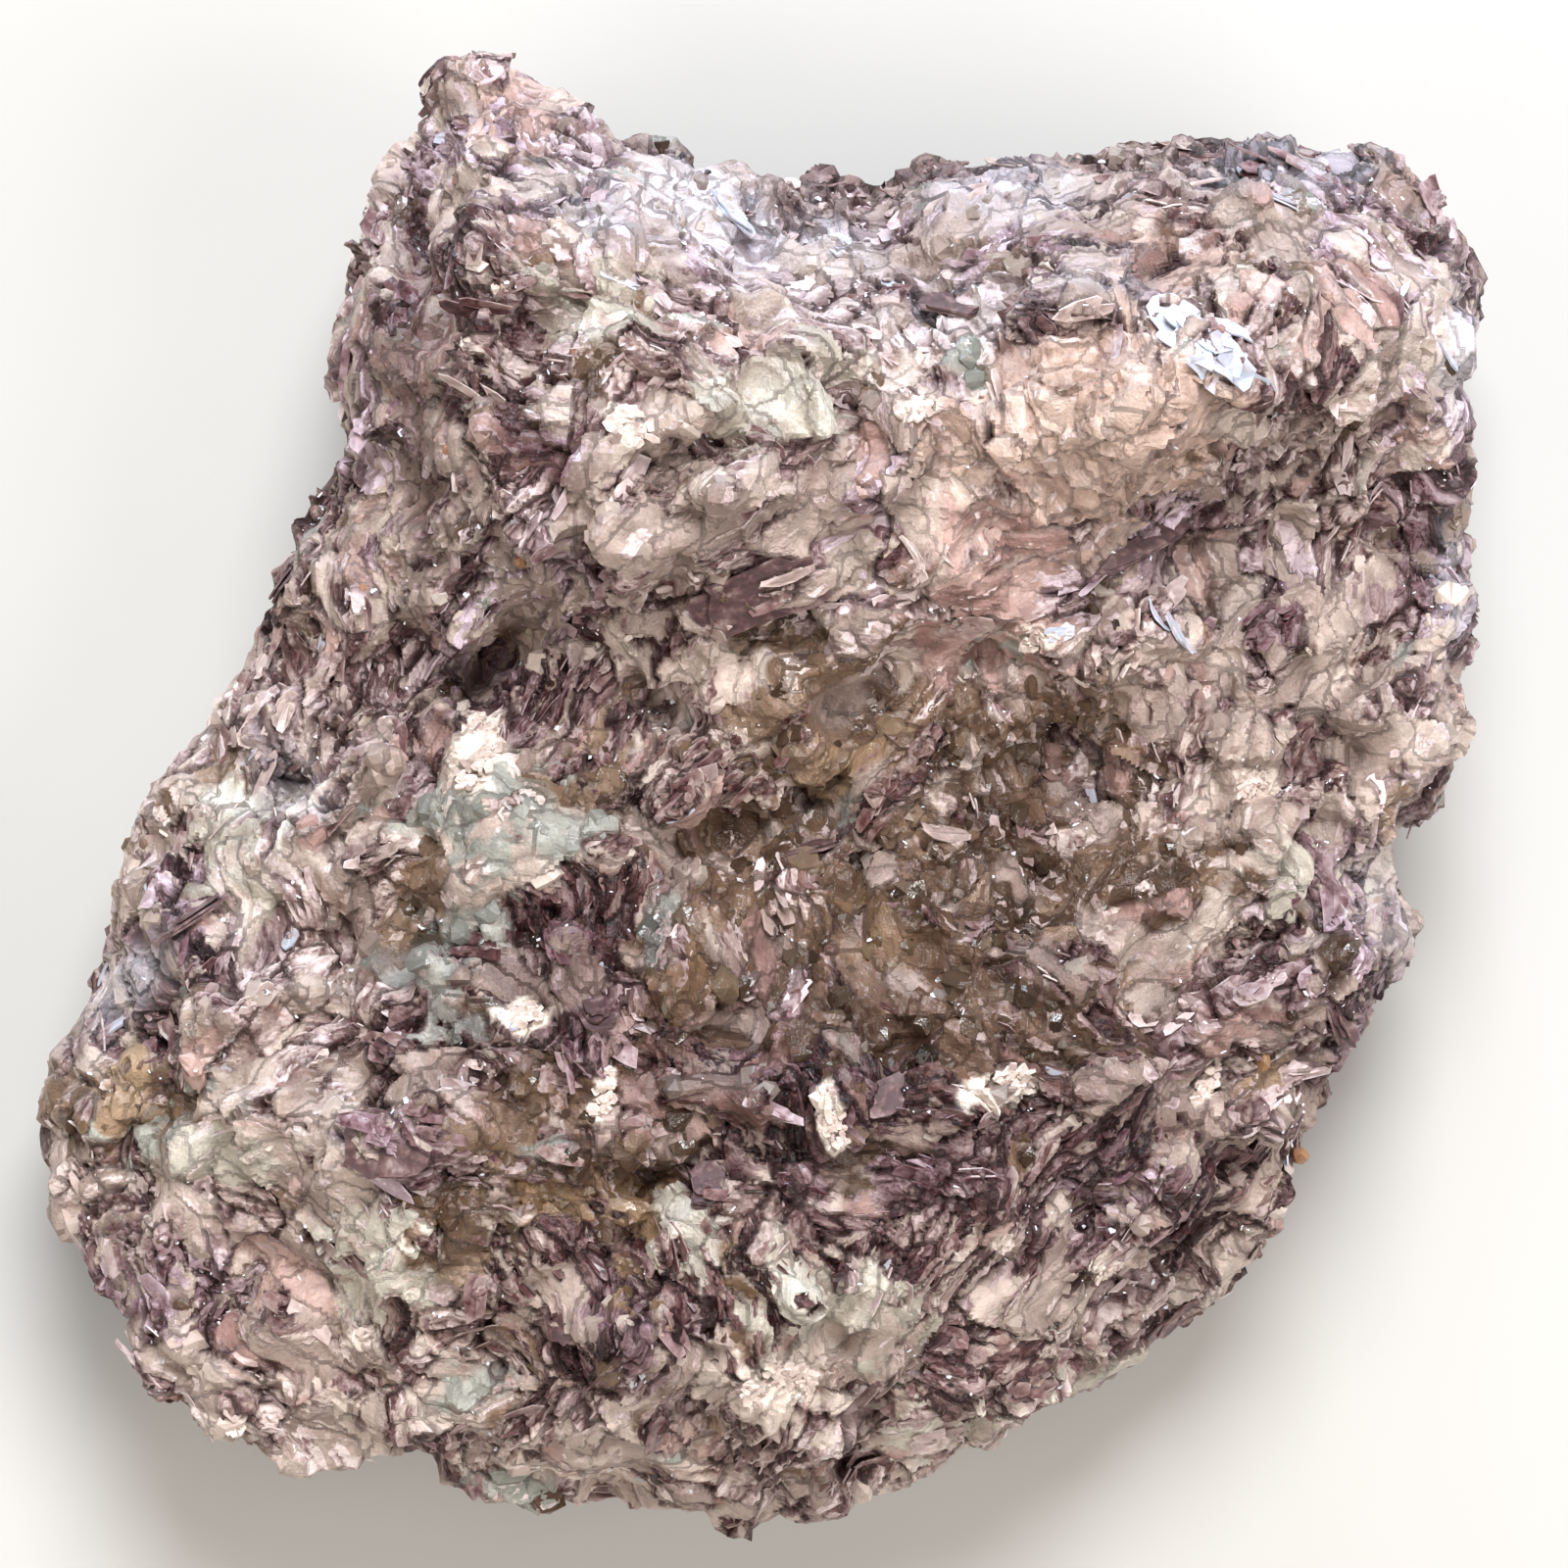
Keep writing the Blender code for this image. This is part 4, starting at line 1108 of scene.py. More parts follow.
# Small rusty and black grains: middle in picture pixels, half size in metres, colour.
specks = [
    ((591, 371), 0.0006, (146, 102, 80)), ((466, 470), 0.0009, (170, 124, 88)),
    ((372, 599), 0.0006, (160, 112, 82)), ((537, 584), 0.0005, (162, 116, 84)),
    ((1286, 1083), 0.0008, (176, 134, 92)), ((1337, 1183), 0.0007, (170, 122, 86)),
    ((499, 142), 0.0005, (50, 38, 36)), ((721, 180), 0.0005, (54, 42, 40)),
    ((188, 836), 0.0005, (56, 42, 38)), ((668, 1513), 0.0005, (52, 40, 36)),
    ((820, 362), 0.0006, (150, 100, 80)), ((1130, 640), 0.0004, (48, 36, 34)),
]


def lumpPoints(rng, middle, half):
    # a lump is an uneven ball on a coarse grid of rings and places round them, with a pole at each end:
    # place = middle + turn · (reach · half · way), way = (sin θ cos φ, sin θ sin φ, cos θ) with the size of
    # each number raised to a power below 1, which makes it blocky; each angle and reach is shaken
    rings, around, count = lumpShape["rings"], lumpShape["around"], len(middle)
    shake = lumpShape["shake"]
    theta = math.pi * (np.arange(rings) + 1)[:, None] / (rings + 1)
    theta = theta + shake * (rng.random((count, rings, around)) - 0.5)
    phi = 2 * math.pi * np.arange(around) / around + shake * (rng.random((count, rings, around)) - 0.5)
    ways = np.stack([np.sin(theta) * np.cos(phi), np.sin(theta) * np.sin(phi), np.cos(theta)], -1)
    ways = np.sign(ways) * np.abs(ways) ** lumpShape["boxed"]
    pole = np.tile([[[0, 0, 1.0]]], (count, 1, 1))
    ways = np.concatenate([pole, ways.reshape(count, -1, 3), -pole], 1)
    reach = rng.uniform(*lumpShape["reach"], (count, ways.shape[1], 1))
    turn, _ = np.linalg.qr(rng.normal(size=(count, 3, 3)))
    turn[:, :, 2] *= np.sign(np.linalg.det(turn))[:, None]
    points = np.einsum("cdk,cjk->cdj", ways * reach * half[:, None], turn) + middle[:, None]
    points[:, :, 2] += np.maximum(skin["floorGap"] - points[:, :, 2].min(1), 0)[:, None]
    k = np.arange(around)
    after = (k + 1) % around
    last = 1 + rings * around
    below = last - around
    faces = [np.stack([0 * k, 1 + k, 1 + after], 1), np.stack([last + 0 * k, below + after, below + k], 1)]
    for number in range(rings - 1):
        a, b = 1 + number * around + k, 1 + number * around + after
        faces += [np.stack([a, a + around, b], 1), np.stack([b, a + around, b + around], 1)]
    faces = np.concatenate(faces)[None] + (np.arange(count) * (last + 1))[:, None, None]
    return points.reshape(-1, 3), faces.reshape(-1, 3), last + 1


def lumpPiece(name, look):
    # grains of the colour that the skin has there, darkened by its stains and painted shade, each sunk by
    # part of its half size
    rng = np.random.default_rng(look["seed"])
    weights = sum(skinKinds[kind] for kind in look["kinds"])
    weights = weights * smooth(*lumpShape["facing"], skinNormals[:, 2])
    places, normals = placesOnSkin(look["tries"], weights, look["seed"], look["apart"])
    cells = grainsAt(places, wideAt(places))
    bare = cells["kind"] == 0
    kinds = np.where(bare, kindNumber(look["kinds"][0]), cells["kind"])
    shades = grainShade(kinds, cells["key"])
    size = rng.uniform(*look["half"], len(places))
    middle = places - normals * (rng.uniform(*look["sunk"], len(places)) * size)[:, None]
    if look["specks"]:
        for place, far, shade in specks:
            spot, up = skinNear(place, 2 * far)
            middle = np.append(middle, [spot - lumpShape["speckSunk"] * far * up], 0)
            size = np.append(size, far)
            shades = np.append(shades, [colour(*shade)[:3]], 0)
    shades = shades * shadeAt(middle)[:, None]
    half = size[:, None] * rng.uniform(*lumpShape["spread"], (len(size), 3))
    points, faces, each = lumpPoints(rng, middle, half)
    return flatPiece(name, points, faces, {"grainColour": np.repeat(shades, each, 0)})


def newGroup(name, inputs, outputs):
    # a shader group with named number inputs and their values, and named outputs
    group = bpy.data.node_groups.new(name, "ShaderNodeTree")
    for label, value in inputs:
        socket = group.interface.new_socket(label, in_out="INPUT", socket_type="NodeSocketFloat")
        socket.default_value = value
    for label in outputs:
        group.interface.new_socket(label, in_out="OUTPUT", socket_type="NodeSocketFloat")
    return group, group.nodes.new("NodeGroupInput"), group.nodes.new("NodeGroupOutput")


def addNode(tree, kind, **settings):
    # a node with its settings
    node = tree.nodes.new(kind)
    for label, value in settings.items():
        setattr(node, label, value)
    return node


def feed(tree, socket, value):
    # a socket takes a link or a constant
    if isinstance(value, bpy.types.NodeSocket):
        tree.links.new(value, socket)
    else:
        socket.default_value = value


def mathNode(tree, operation, first, second, third=0.0):
    # MULTIPLY_ADD is first · second + third
    node = addNode(tree, "ShaderNodeMath", operation=operation)
    for socket, value in zip(node.inputs, (first, second, third)):
        feed(tree, socket, value)
    return node.outputs[0]


def weighted(tree, start, shares):
    # start + the sum of pattern · share
    for pattern, share in shares:
        start = mathNode(tree, "MULTIPLY_ADD", pattern, share, start)
    return start


def mixColours(tree, share, first, second, blend="MIX"):
    # (1 - share) · first + share · second, or first · second for MULTIPLY
    node = addNode(tree, "ShaderNodeMix", data_type="RGBA", blend_type=blend)
    for number, value in ((0, share), (6, first), (7, second)):
        feed(tree, node.inputs[number], value)
    return node.outputs[2]


def combined(tree, values):
    # three numbers as one place
    node = addNode(tree, "ShaderNodeCombineXYZ")
    for socket, value in zip(node.inputs, values):
        feed(tree, socket, value)
    return node.outputs[0]


def ranged(tree, value, fromLow, fromHigh, toLow=0.0, toHigh=1.0):
    # straight from one range onto another, held at its ends
    node = addNode(tree, "ShaderNodeMapRange")
    ends = (("From Min", fromLow), ("From Max", fromHigh), ("To Min", toLow), ("To Max", toHigh))
    for label, number in ends:
        node.inputs[label].default_value = number
    feed(tree, node.inputs["Value"], value)
    return node.outputs[0]


def attributeValue(tree, name):
    # a number that the mesh carries
    return addNode(tree, "ShaderNodeAttribute", attribute_name=name).outputs["Fac"]


def objectPlace(tree):
    # a place on the piece in metres, as its Object coordinates give it
    return addNode(tree, "ShaderNodeTexCoord").outputs["Object"]


noiseRange = (0.3, 0.7)  # soft noise lies between these, but for a little


def noiseOn(tree, vector, scale, detail=3.0):
    # soft noise, finer with more detail
    node = addNode(tree, "ShaderNodeTexNoise")
    feed(tree, node.inputs["Vector"], vector)
    feed(tree, node.inputs["Scale"], scale)
    node.inputs["Detail"].default_value = detail
    return node.outputs["Fac"]


def cellTilts(group, place):
    # cells of a texture space: a number for each, and a plane over each as a height,
    # (place - the cell's own point) · (its seeded colour - 0.5)
    cells = addNode(group, "ShaderNodeTexVoronoi", feature="F1")
    group.links.new(place, cells.inputs["Vector"])
    cells.inputs["Scale"].default_value = 1.0
    away = addNode(group, "ShaderNodeVectorMath", operation="SUBTRACT")
    way = addNode(group, "ShaderNodeVectorMath", operation="SUBTRACT")
    rise = addNode(group, "ShaderNodeVectorMath", operation="DOT_PRODUCT")
    group.links.new(place, away.inputs[0])
    group.links.new(cells.outputs["Position"], away.inputs[1])
    group.links.new(cells.outputs["Color"], way.inputs[0])
    way.inputs[1].default_value = (0.5, 0.5, 0.5)
    group.links.new(away.outputs[0], rise.inputs[0])
    group.links.new(way.outputs[0], rise.inputs[1])
    split = addNode(group, "ShaderNodeSeparateColor")
    group.links.new(cells.outputs["Color"], split.inputs[0])
    return split.outputs[0], rise.outputs["Value"]


grainPattern = {"cloudsPerMetre": 420.0, "frostDetail": 2.0, "frostRise": 0.25}
# How a book's pattern is drawn out along it and out from it, per millimetre; how far the sheets wander.
sheetPattern = {
    "sliver": (0.50, 0.9), "line": (0.8, 1.2), "wander": 0.9, "wanderPerMm": 0.9, "lineRise": 0.3,
    "lineRange": (0.32, 0.68), "detail": 2.0,
}


def makeGrainGroup():
    # crystal grain on Object coordinates: faceted cells, a soft cloud over them and fine frost
    cells, frostScale = "Cells per metre", "Frost per metre"
    outputs = ("Tint", "Cloud", "Frost", "Height")
    group, entry, leave = newGroup("crystalGrain", [(cells, 900.0), (frostScale, 5000.0)], outputs)
    place = objectPlace(group)
    scaled = addNode(group, "ShaderNodeVectorMath", operation="SCALE")
    feed(group, scaled.inputs[0], place)
    feed(group, scaled.inputs["Scale"], entry.outputs[cells])
    tint, rise = cellTilts(group, scaled.outputs[0])
    frost = noiseOn(group, place, entry.outputs[frostScale], grainPattern["frostDetail"])
    feed(group, leave.inputs["Tint"], tint)
    feed(group, leave.inputs["Cloud"], noiseOn(group, place, grainPattern["cloudsPerMetre"]))
    feed(group, leave.inputs["Frost"], ranged(group, frost, *noiseRange))
    feed(group, leave.inputs["Height"], weighted(group, rise, [(frost, grainPattern["frostRise"])]))
    return group


def makeSheetGroup():
    # the flakes of a book, drawn out along it and tight across it, from its own three coordinates in
    # millimetres: seeded slivers that wander a little, and fine lines in them
    numbers = [("Along", 0.0), ("Out", 0.0), ("Across", 0.0), ("Slivers per mm", 2.4), ("Lines per mm", 7.0)]
    group, entry, leave = newGroup("micaSheets", numbers, ("Sliver", "Line", "Height"))
    along, out, across, slivers, lines = (entry.outputs[label] for label, _ in numbers)
    place = combined(group, (along, out, across))
    drift = noiseOn(group, place, sheetPattern["wanderPerMm"], sheetPattern["detail"])
    wander = weighted(group, across, [(drift, sheetPattern["wander"])])

    def drawnOut(scales, tight):
        # the book's place with each way scaled by its own number
        values = ((along, scales[0]), (out, scales[1]), (wander, tight))
        return combined(group, [mathNode(group, "MULTIPLY", value, scale) for value, scale in values])

    sliver, rise = cellTilts(group, drawnOut(sheetPattern["sliver"], slivers))
    fine = noiseOn(group, drawnOut(sheetPattern["line"], lines), 1.0, sheetPattern["detail"])
    feed(group, leave.inputs["Sliver"], sliver)
    feed(group, leave.inputs["Line"], ranged(group, fine, *sheetPattern["lineRange"]))
    feed(group, leave.inputs["Height"], weighted(group, rise, [(fine, sheetPattern["lineRise"])]))
    return group


grainGroup = makeGrainGroup()
sheetGroup = makeSheetGroup()

# Mica from its darkest to its palest tone, and what its colour is multiplied by where it is violet.
micaRamp = [
    (0.00, colour(48, 24, 24)), (0.18, colour(84, 54, 54)), (0.40, colour(126, 99, 95)),
    (0.60, colour(154, 135, 128)), (0.80, colour(188, 168, 160)), (1.00, colour(220, 204, 195)),
]
violetCast = (0.97, 0.94, 1.22, 1.0)


def addRamp(tree, value, stops):
    # straight from one stop's colour to the next one's
    node = addNode(tree, "ShaderNodeValToRGB")
    ramp = node.color_ramp
    while len(ramp.elements) < len(stops):
        ramp.elements.new(0.5)
    for element, (spot, shade) in zip(ramp.elements, stops):
        element.position = spot
        element.color = shade
    feed(tree, node.inputs[0], value)
    return node.outputs[0]


def micaColour(tree, tone):
    # the ramp by tone, turned to violet in some books
    brown = addRamp(tree, tone, micaRamp)
    violet = mixColours(tree, 1.0, brown, violetCast, "MULTIPLY")
    return mixColours(tree, attributeValue(tree, "bookHue"), brown, violet)


def placeGroup(tree, group, values):
    # a group in a material, with links or constants for its inputs
    node = addNode(tree, "ShaderNodeGroup", node_tree=group)
    for label, value in values.items():
        feed(tree, node.inputs[label], value)
    return node


def placeSheets(tree, slivers, lines):
    # the sheets' pattern on the frame that the mesh carries
    values = {"Slivers per mm": slivers, "Lines per mm": lines}
    for label in ("Along", "Out", "Across"):
        values[label] = attributeValue(tree, "book" + label)
    return placeGroup(tree, sheetGroup, values)


def newMaterial(name, settings):
    # constants go on the shader's own sockets
    material = bpy.data.materials.new(name)
    material.use_nodes = True
    shader = material.node_tree.nodes["Principled BSDF"]
    for label, value in settings.items():
        shader.inputs[label].default_value = value
    return material, material.node_tree, shader


def addBump(tree, shader, height, strength, distance):
    # fine relief on top of the mesh's own shape
    bump = addNode(tree, "ShaderNodeBump")
    bump.inputs["Strength"].default_value = strength
    bump.inputs["Distance"].default_value = distance
    tree.links.new(height, bump.inputs["Height"])
    tree.links.new(bump.outputs[0], shader.inputs["Normal"])


# The rock's look. Each pattern that is named adds its share to the start; edge says how the patterns shift
# the border between mica and grain, and between which values it runs.
rockFinish = {
    "settings": {"IOR": 1.5, "Specular IOR Level": 0.36},
    "cellsPerMetre": 1500.0, "frostPerMetre": 5200.0, "sliversPerMm": 2.4, "linesPerMm": 7.0,
    "tone": {"Sliver": 0.78, "Line": 0.34, "Frost": 0.12, "start": -0.62},
    "cloud": (0.78, 1.10),
    "tint": {"start": 0.84, "Tint": 0.20, "Frost": 0.16},
    "streak": {"start": 0.80, "Sliver": 0.26, "Line": 0.14},
    "edge": {
        "noisePerMetre": 2600.0, "detail": 2.0, "noise": 0.7, "Sliver": 1.2, "start": -0.95,
        "range": (0.40, 0.60),
    },
    # the next number is how much the seams and crevices darken the colour, as painted shade, towards the
    # shadow colour
    "seamShade": -0.82,
    "shadow": (0.11, 0.0, 0.0, 1.0),
    "cream": colour(236, 220, 207),
    "paintedSheen": {"start": 0.4, "Sliver": 0.7, "colour": colour(212, 212, 222)},
    "roughness": (0.46, 0.32),
    "relief": {"inGrain": 0.3, "Frost": 0.12, "strength": 0.8, "distance": 0.00036},
}


def makeRockMaterial():
    # mica's ramp by tone, or the grain's own colour · cloud · streak · tint, then painted shade in the seams
    # and crevices and the stains with their painted shade as a darker light on it, cream patches and painted
    # sheens
    look = rockFinish
    material, tree, shader = newMaterial("lepidoliteRock", look["settings"])
    scales = {"Cells per metre": look["cellsPerMetre"], "Frost per metre": look["frostPerMetre"]}
    grain = placeGroup(tree, grainGroup, scales)
    sheets = placeSheets(tree, look["sliversPerMm"], look["linesPerMm"])
    patterns = {label: grain.outputs[label] for label in ("Tint", "Cloud", "Frost")}
    patterns.update({label: sheets.outputs[label] for label in ("Sliver", "Line")})

    def added(start, shares, *names):
        # start + the sum of the named patterns · their shares
        return weighted(tree, start, [(patterns[label], shares[label]) for label in names])

    tone = added(attributeValue(tree, "tone"), look["tone"], "Sliver", "Line", "Frost")
    mica = micaColour(tree, mathNode(tree, "ADD", tone, look["tone"]["start"]))
    cloud = ranged(tree, patterns["Cloud"], *noiseRange, *look["cloud"])
    streak = added(look["streak"]["start"], look["streak"], "Sliver", "Line")
    tint = added(look["tint"]["start"], look["tint"], "Tint", "Frost")
    depth = mathNode(tree, "MULTIPLY", mathNode(tree, "MULTIPLY", cloud, streak), tint)
    own = addNode(tree, "ShaderNodeAttribute", attribute_name="grainColour").outputs["Color"]
    own = mixColours(tree, 1.0, own, depth, "MULTIPLY")
    edge = look["edge"]
    noise = noiseOn(tree, objectPlace(tree), edge["noisePerMetre"], edge["detail"])
    inside = weighted(tree, attributeValue(tree, "mica"), [(noise, edge["noise"])])
    inside = mathNode(tree, "ADD", added(inside, edge, "Sliver"), edge["start"])
    inside = ranged(tree, inside, *edge["range"])
    # painted shade: the seams, the crevices and the stains darken the colour towards the shadow colour
    lit = weighted(tree, 1.0, [(attributeValue(tree, "gap"), look["seamShade"])])
    lit = mathNode(tree, "MULTIPLY", lit, attributeValue(tree, "shade"))
    light = mixColours(tree, lit, look["shadow"], (1.0, 1.0, 1.0, 1.0))
    shown = mixColours(tree, 1.0, mixColours(tree, inside, own, mica), light, "MULTIPLY")
    cream = mixColours(tree, 1.0, look["cream"], depth, "MULTIPLY")
    shown = mixColours(tree, attributeValue(tree, "cream"), shown, cream)
    # painted sheen: a bluish-white highlight mixed into the colour, along the slivers
    paintedSheen = added(look["paintedSheen"]["start"], look["paintedSheen"], "Sliver")
    paintedSheen = mathNode(tree, "MULTIPLY", paintedSheen, attributeValue(tree, "paintedSheen"))
    shown = mixColours(tree, paintedSheen, shown, look["paintedSheen"]["colour"])
    feed(tree, shader.inputs["Base Color"], shown)
    rough = ranged(tree, attributeValue(tree, "gloss"), 0.0, 1.0, *look["roughness"])
    feed(tree, shader.inputs["Roughness"], rough)
    relief = look["relief"]
    height = ranged(tree, inside, 0.0, 1.0, relief["inGrain"], 1.0)
    height = mathNode(tree, "MULTIPLY", sheets.outputs["Height"], height)
    addBump(tree, shader, added(height, relief, "Frost"), relief["strength"], relief["distance"])
    return material


# What all flakes share: the pattern's sizes, what slivers and the rim add to the tone, how the wash goes
# with the lines, and the relief.
flakeLook = {
    "sliversPerMm": 2.0, "linesPerMm": 6.0, "mottlePerMetre": 1500.0, "mottleDetail": 4.0,
    "start": -0.12, "Sliver": 0.20, "rim": 0.10, "rimPower": 8.0, "washLine": 0.3, "washStart": -0.2,
    "IOR": 1.55,
    "strength": 0.5, "distance": 0.00022,
}
# Finishes of the flakes: tone added to the ramp, how much their fine lines show, roughness and coat, and how
# far their colour goes over to another.
flakeFinishes = {
    "bookMica": {"lift": 0.00, "line": 0.30, "mottle": 0.13, "roughness": 0.34, "coat": 0.1},
    "paleMica": {"lift": 0.06, "line": 0.20, "mottle": 0.08, "roughness": 0.42, "coat": 0.0},
    # silverMica: pale mica whose bluish-white wash is partly a painted glint
    "silverMica": {
        "lift": 0.30, "line": 0.20, "mottle": 0.10, "roughness": 0.26, "coat": 0.3,
        "silver": 0.8, "wash": (166, 171, 184),
    },
    "silverPlates": {
        "lift": -0.24, "line": 0.46, "mottle": 0.34, "roughness": 0.38, "coat": 0.15,
        "silver": 0.72, "wash": (174, 183, 197),
    },
    # the glints' near-white wash is a painted highlight
    "glints": {
        "lift": 0.60, "line": 0.00, "mottle": 0.00, "roughness": 0.12, "coat": 0.5,
        "silver": 0.9, "wash": (226, 231, 240),
    },
    "creamFlakes": {"lift": 0.00, "line": 0.12, "mottle": 0.06, "roughness": 0.42, "coat": 0.0},
    "plumPlates": {
        "lift": 0.00, "line": 0.44, "mottle": 0.30, "roughness": 0.56, "coat": 0.0,
        "silver": 0.58, "wash": (86, 66, 67),
    },
}


def makeMicaMaterial(name, look):
    # the ramp by tone = own + lift + lines + slivers + rim + mottle, and for some a wash over it, which on
    # the silver pieces and the glints is partly a painted highlight; half of the lines' share comes off the
    # start, so that they make a flake no paler as a whole
    same = flakeLook
    settings = {"Roughness": look["roughness"], "Coat Weight": look["coat"], "IOR": same["IOR"]}
    material, tree, shader = newMaterial(name, settings)
    sheets = placeSheets(tree, same["sliversPerMm"], same["linesPerMm"])
    line = sheets.outputs["Line"]
    start = look["lift"] - 0.5 * look["line"] + same["start"]
    rim = mathNode(tree, "POWER", attributeValue(tree, "rim"), same["rimPower"])
    shares = [(line, look["line"]), (sheets.outputs["Sliver"], same["Sliver"]), (rim, same["rim"])]
    tone = weighted(tree, mathNode(tree, "ADD", attributeValue(tree, "tone"), start), shares)
    mottle = noiseOn(tree, objectPlace(tree), same["mottlePerMetre"], same["mottleDetail"])
    mottle = ranged(tree, mottle, *noiseRange, -look["mottle"], look["mottle"])
    shown = micaColour(tree, mathNode(tree, "ADD", tone, mottle))
    if "silver" in look:
        wash = weighted(tree, look["silver"] + same["washStart"], [(line, same["washLine"])])
        shown = mixColours(tree, mathNode(tree, "SUBTRACT", wash, mottle), shown, colour(*look["wash"]))
    feed(tree, shader.inputs["Base Color"], shown)
    addBump(tree, shader, sheets.outputs["Height"], same["strength"], same["distance"])
    return material


# Smoky quartz is clear enough to show what is under its faces.
lumpFinishes = {
    "feldsparLumps": {"slot": "feldspar", "roughness": 0.46, "IOR": 1.52, "clear": 0.0},
    "quartzLumps": {"slot": "quartz", "roughness": 0.20, "IOR": 1.54, "clear": 0.30},
}
lumpLook = {
    "cellsPerMetre": 1300.0, "frostPerMetre": 5200.0, "cloud": (0.80, 1.14), "tint": (0.86, 0.26),
    "strength": 0.6, "distance": 0.00030,
}


def makeLumpMaterial(name, look):
    # the grain's own colour · cloud · (start + tint)
    same = lumpLook
    settings = {"Roughness": look["roughness"], "IOR": look["IOR"], "Transmission Weight": look["clear"]}
    material, tree, shader = newMaterial(name, settings)
    scales = {"Cells per metre": same["cellsPerMetre"], "Frost per metre": same["frostPerMetre"]}
    grain = placeGroup(tree, grainGroup, scales)
    start, share = same["tint"]
    cloud = ranged(tree, grain.outputs["Cloud"], *noiseRange, *same["cloud"])
    tint = weighted(tree, start, [(grain.outputs["Tint"], share)])
    own = addNode(tree, "ShaderNodeAttribute", attribute_name="grainColour").outputs["Color"]
    shown = mixColours(tree, 1.0, own, mathNode(tree, "MULTIPLY", cloud, tint), "MULTIPLY")
    feed(tree, shader.inputs["Base Color"], shown)
    addBump(tree, shader, grain.outputs["Height"], same["strength"], same["distance"])
    return material


def finishPiece(piece, material):
    # every piece rides on the rock's one body
    piece.data.materials.append(material)
    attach(piece, "root")


def skinPiece(name, quads, material):
    # a part of the skin with only its own corners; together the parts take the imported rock's place
    used, place = np.unique(quads, return_inverse=True)
    attributes = {label: values[used] for label, values in skinLook.items()}
    piece = newPiece(name, skinPoints[used], place.reshape(quads.shape), attributes)
    piece.data.shade_smooth()
    piece.data.set_sharp_from_angle(angle=math.radians(skin["sharp"]))
    finishPiece(piece, material)
    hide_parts("lepidolite_rock")


def makeSkin():
    # the fine quads go into pieces of like size, in bands from left to right
    material = makeRockMaterial()
    pieces = math.ceil(len(fineQuads) / skin["mostQuads"])
    order = np.argsort(skinPoints[fineQuads].mean(1)[:, 0], kind="stable")
    for number, part in enumerate(np.array_split(order, pieces)):
        skinPiece(f"broadFace{number + 1}", fineQuads[part], material)
    skinPiece("rockBack", wholeQuads, material)


# Light, camera and floor. Places and sizes in metres, powers in watts.
stage = {
    "floorSize": 1.6, "floorColours": (colour(180, 178, 174), colour(188, 186, 182)), "floorPerMetre": 30.0,
    "floorRoughness": 0.8,
    "cameraAway": 0.42, "sharpPlane": 0.018, "sensor": 36.0,
    "key": {"place": (0.06, 0.44, 0.66), "size": 0.36, "power": 8.7, "tint": (0.95, 0.97, 1.0)},
    "rim": {"place": (0.00, 0.70, 0.16), "size": 0.30, "power": 4.8, "tint": (0.66, 0.80, 1.0)},
    "fillRight": {"place": (0.55, -0.20, 0.50), "size": 0.60, "power": 4.3, "tint": (0.98, 0.95, 0.93)},
    "fillLeft": {"place": (-0.50, -0.35, 0.46), "size": 0.70, "power": 2.8, "tint": (1.0, 0.93, 0.84)},
    "sky": 0.34, "skyColour": (0.86, 0.82, 0.78, 1),
}

# Tiny plates scattered over the rock, turned toward the key light and coloured near white as painted glints.
# Sizes in metres.
glints = {
    "tries": 700, "seed": 71, "apart": 0.0009, "half": (0.00004, 0.00026), "halfThick": 0.00003,
    "lift": 0.00002, "corners": 5, "scatter": 0.5, "offMica": 0.3, "facing": (0.1, 0.5),
    "clusters": (0.006, 24), "gathered": (0.2, 1.4),
}


def glintPiece():
    # small plates that roughly face the light, coloured near white as painted glints: across = normal + way
    # to the key light + scatter; the larger the fewer, by the cube of a chance, and gathered where slow
    # waves are high
    rng = np.random.default_rng(glints["seed"])
    smallest, largest = glints["half"]
    length, seed = glints["clusters"]
    weights = lookingUp(*glints["facing"])
    weights = weights * smooth(*glints["gathered"], waves(skinPoints, length, seed))
    weights *= glints["offMica"] + skinLook["mica"]
    places, normals = placesOnSkin(glints["tries"], weights, glints["seed"], glints["apart"])
    count = len(places)
    toKey = unit(np.array(stage["key"]["place"]))
    across = unit(normals + toKey + glints["scatter"] * rng.normal(size=(count, 3)))
    along = unit(np.cross(across, rng.normal(size=(count, 3))))
    flakes = {
        "middle": places + normals * glints["lift"],
        "along": along, "out": np.cross(across, along), "across": across,
        "halfLength": smallest + (largest - smallest) * rng.random(count) ** 3,
        "halfDepth": smallest + (largest - smallest) * rng.random(count) ** 3,
        "halfThick": np.full(count, glints["halfThick"]), "bend": np.zeros(count),
        "tone": np.ones(count), "bookHue": np.zeros(count),
    }
    return flakePiece("glints", rng, flakes, glints["corners"])


def finishMica(piece):
    # a mica piece takes the finish of its own name
    finishPiece(piece, makeMicaMaterial(piece.name, flakeFinishes[piece.name]))


def makeFlakes():
    # the loose flakes go into pieces by their finish
    rng, flakes = growBooks()
    silver = flakes["lone"] < books["silver"]
    pale = ~silver & (flakes["tone"] > books["pale"])
    for name, chosen in (("bookMica", ~silver & ~pale), ("paleMica", pale), ("silverMica", silver)):
        picked = {label: values[chosen] for label, values in flakes.items()}
        finishMica(flakePiece(name, rng, picked, books["corners"]))


def makePlates():
    # the single plates, the cream crusts and the glints
    for name, look in plates.items():
        finishMica(platePiece(name, look))
    finishMica(heapPiece("creamFlakes"))
    finishMica(glintPiece())


def makeLumps():
    # the small grains, each kind with a material of its own
    for name, look in lumps.items():
        finish = lumpFinishes[name]
        finishPiece(lumpPiece(name, look), makeLumpMaterial(name, finish))


makeSkin()
makeFlakes()
makePlates()
makeLumps()
print("flakes, plates and lumps placed")


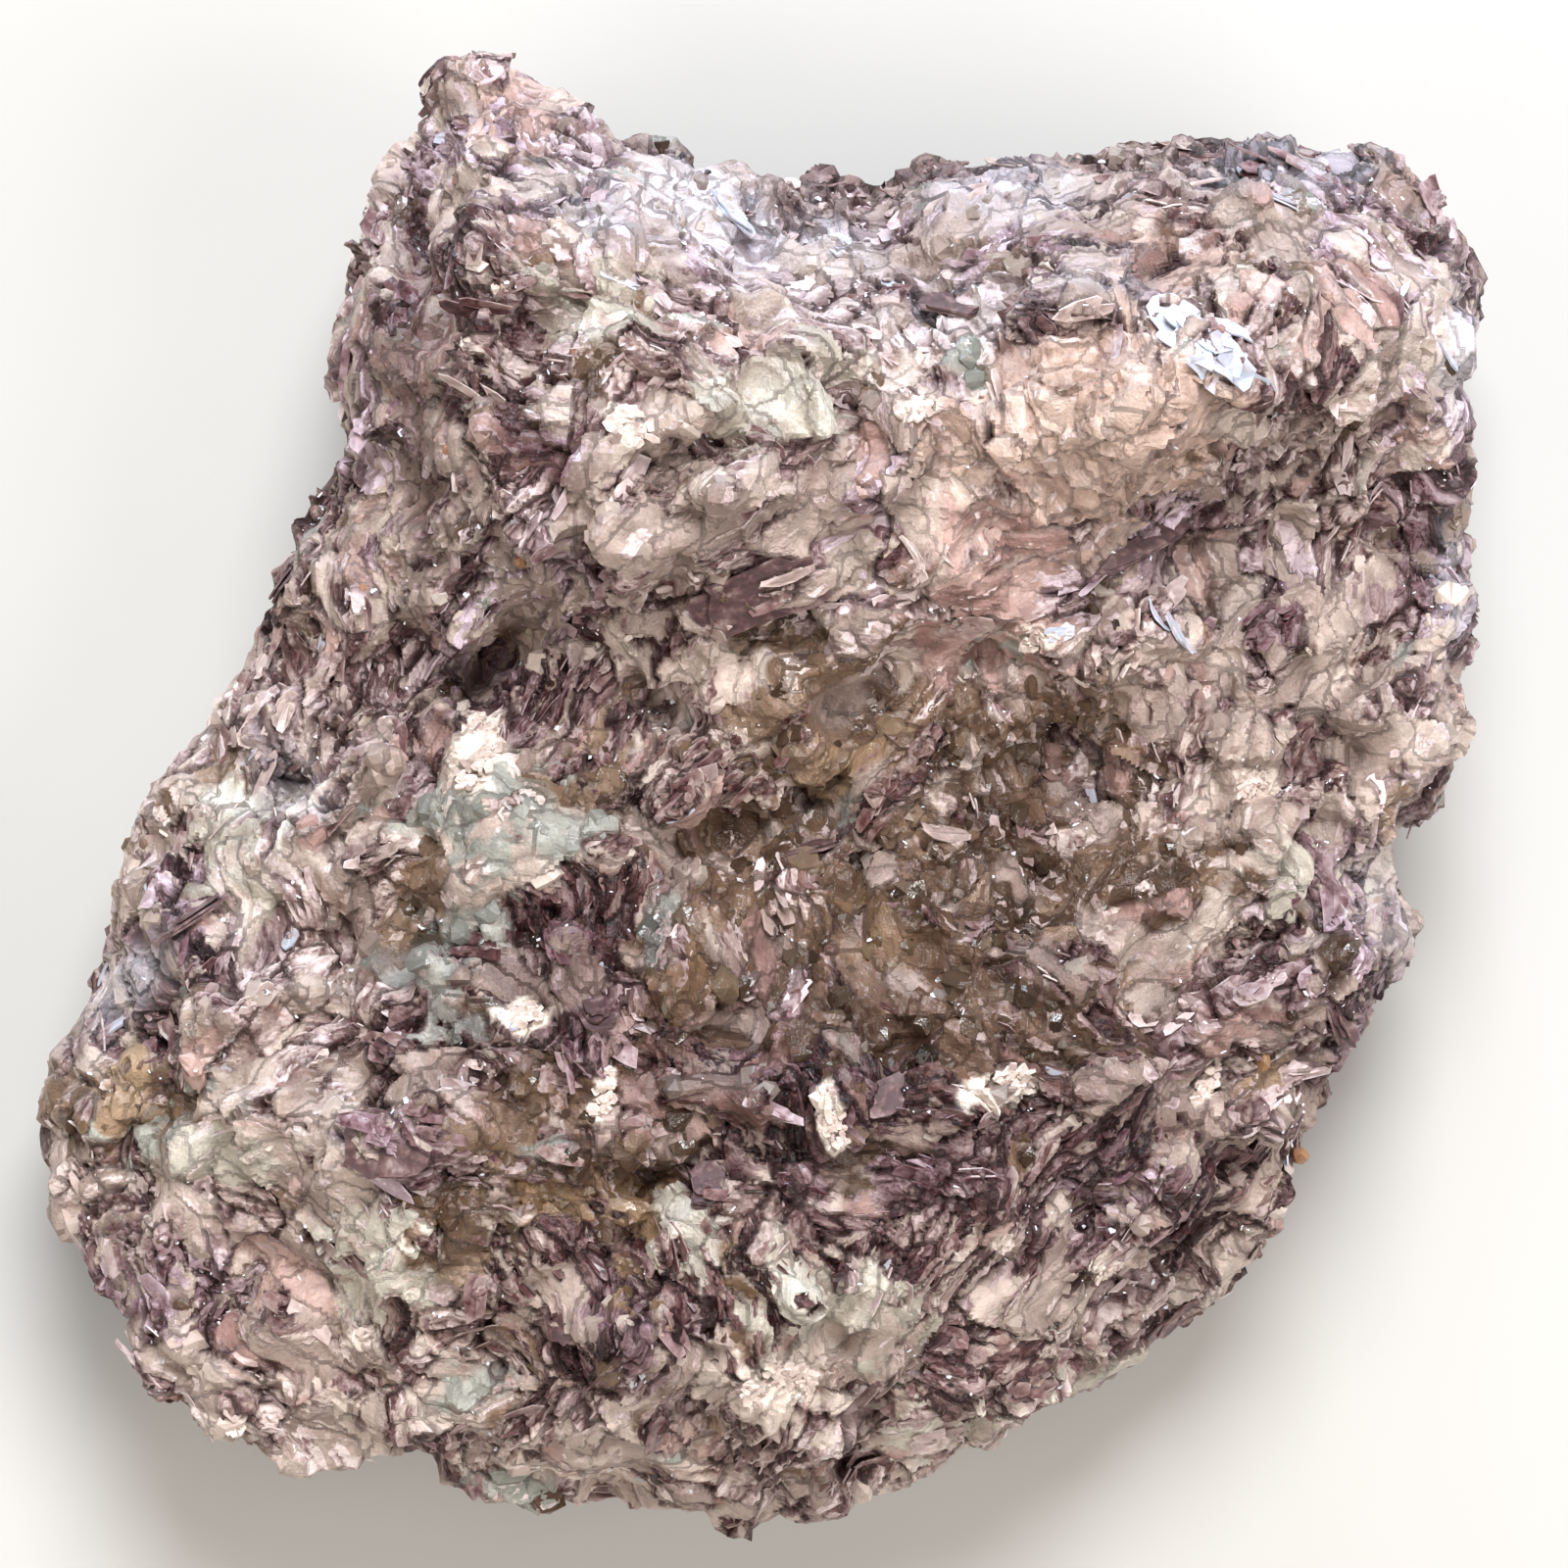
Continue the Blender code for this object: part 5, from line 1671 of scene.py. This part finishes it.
def makeFloor():
    # one square under the rock, with a faint cloud in its colour
    half = stage["floorSize"] / 2
    corners = np.array([(-half, -half, 0), (half, -half, 0), (half, half, 0), (-half, half, 0)])
    floor = newPiece("floor", corners, np.array([[0, 1, 2, 3]]), {})
    material, tree, shader = newMaterial("paleFloor", {"Roughness": stage["floorRoughness"]})
    cloud = noiseOn(tree, objectPlace(tree), stage["floorPerMetre"])
    feed(tree, shader.inputs["Base Color"], mixColours(tree, cloud, *stage["floorColours"]))
    floor.data.materials.append(material)


def areaLight(name, look):
    # a round lamp that faces the rock's middle
    light = bpy.data.lights.new(name, "AREA")
    light.shape = "DISK"
    light.size = look["size"]
    light.energy = look["power"]
    light.color = look["tint"]
    lamp = bpy.data.objects.new(name, light)
    bpy.context.scene.collection.objects.link(lamp)
    lamp.location = look["place"]
    toward = lamp.location.copy()
    toward.x, toward.y, toward.z = (t - p for t, p in zip((0, 0, stage["sharpPlane"]), look["place"]))
    lamp.rotation_euler = toward.to_track_quat("-Z", "Y").to_euler()


def makeStudio():
    # four lamps and an even sky
    for name in ("key", "rim", "fillRight", "fillLeft"):
        areaLight(name, stage[name])
    world = bpy.data.worlds.new("studio")
    world.use_nodes = True
    sky = world.node_tree.nodes["Background"]
    sky.inputs["Color"].default_value = stage["skyColour"]
    sky.inputs["Strength"].default_value = stage["sky"]
    bpy.context.scene.world = world
    bpy.context.scene.view_settings.view_transform = "Standard"


def makeCamera():
    # straight down on the picture's middle, so far off that the plan's pixels are the picture's own at the
    # plane that is sharp: lens = sensor · distance / width
    lens = bpy.data.cameras.new("camera")
    camera = bpy.data.objects.new("camera", lens)
    bpy.context.scene.collection.objects.link(camera)
    half = picture["width"] / 2
    centre = onPlan((half, half))
    camera.location = (centre[0], centre[1], stage["sharpPlane"] + stage["cameraAway"])
    lens.sensor_width = stage["sensor"]
    lens.lens = lens.sensor_width * stage["cameraAway"] / (picture["width"] * picture["pixel"])
    bpy.context.scene.camera = camera


makeFloor()
makeStudio()
makeCamera()
print("floor, light and camera placed")
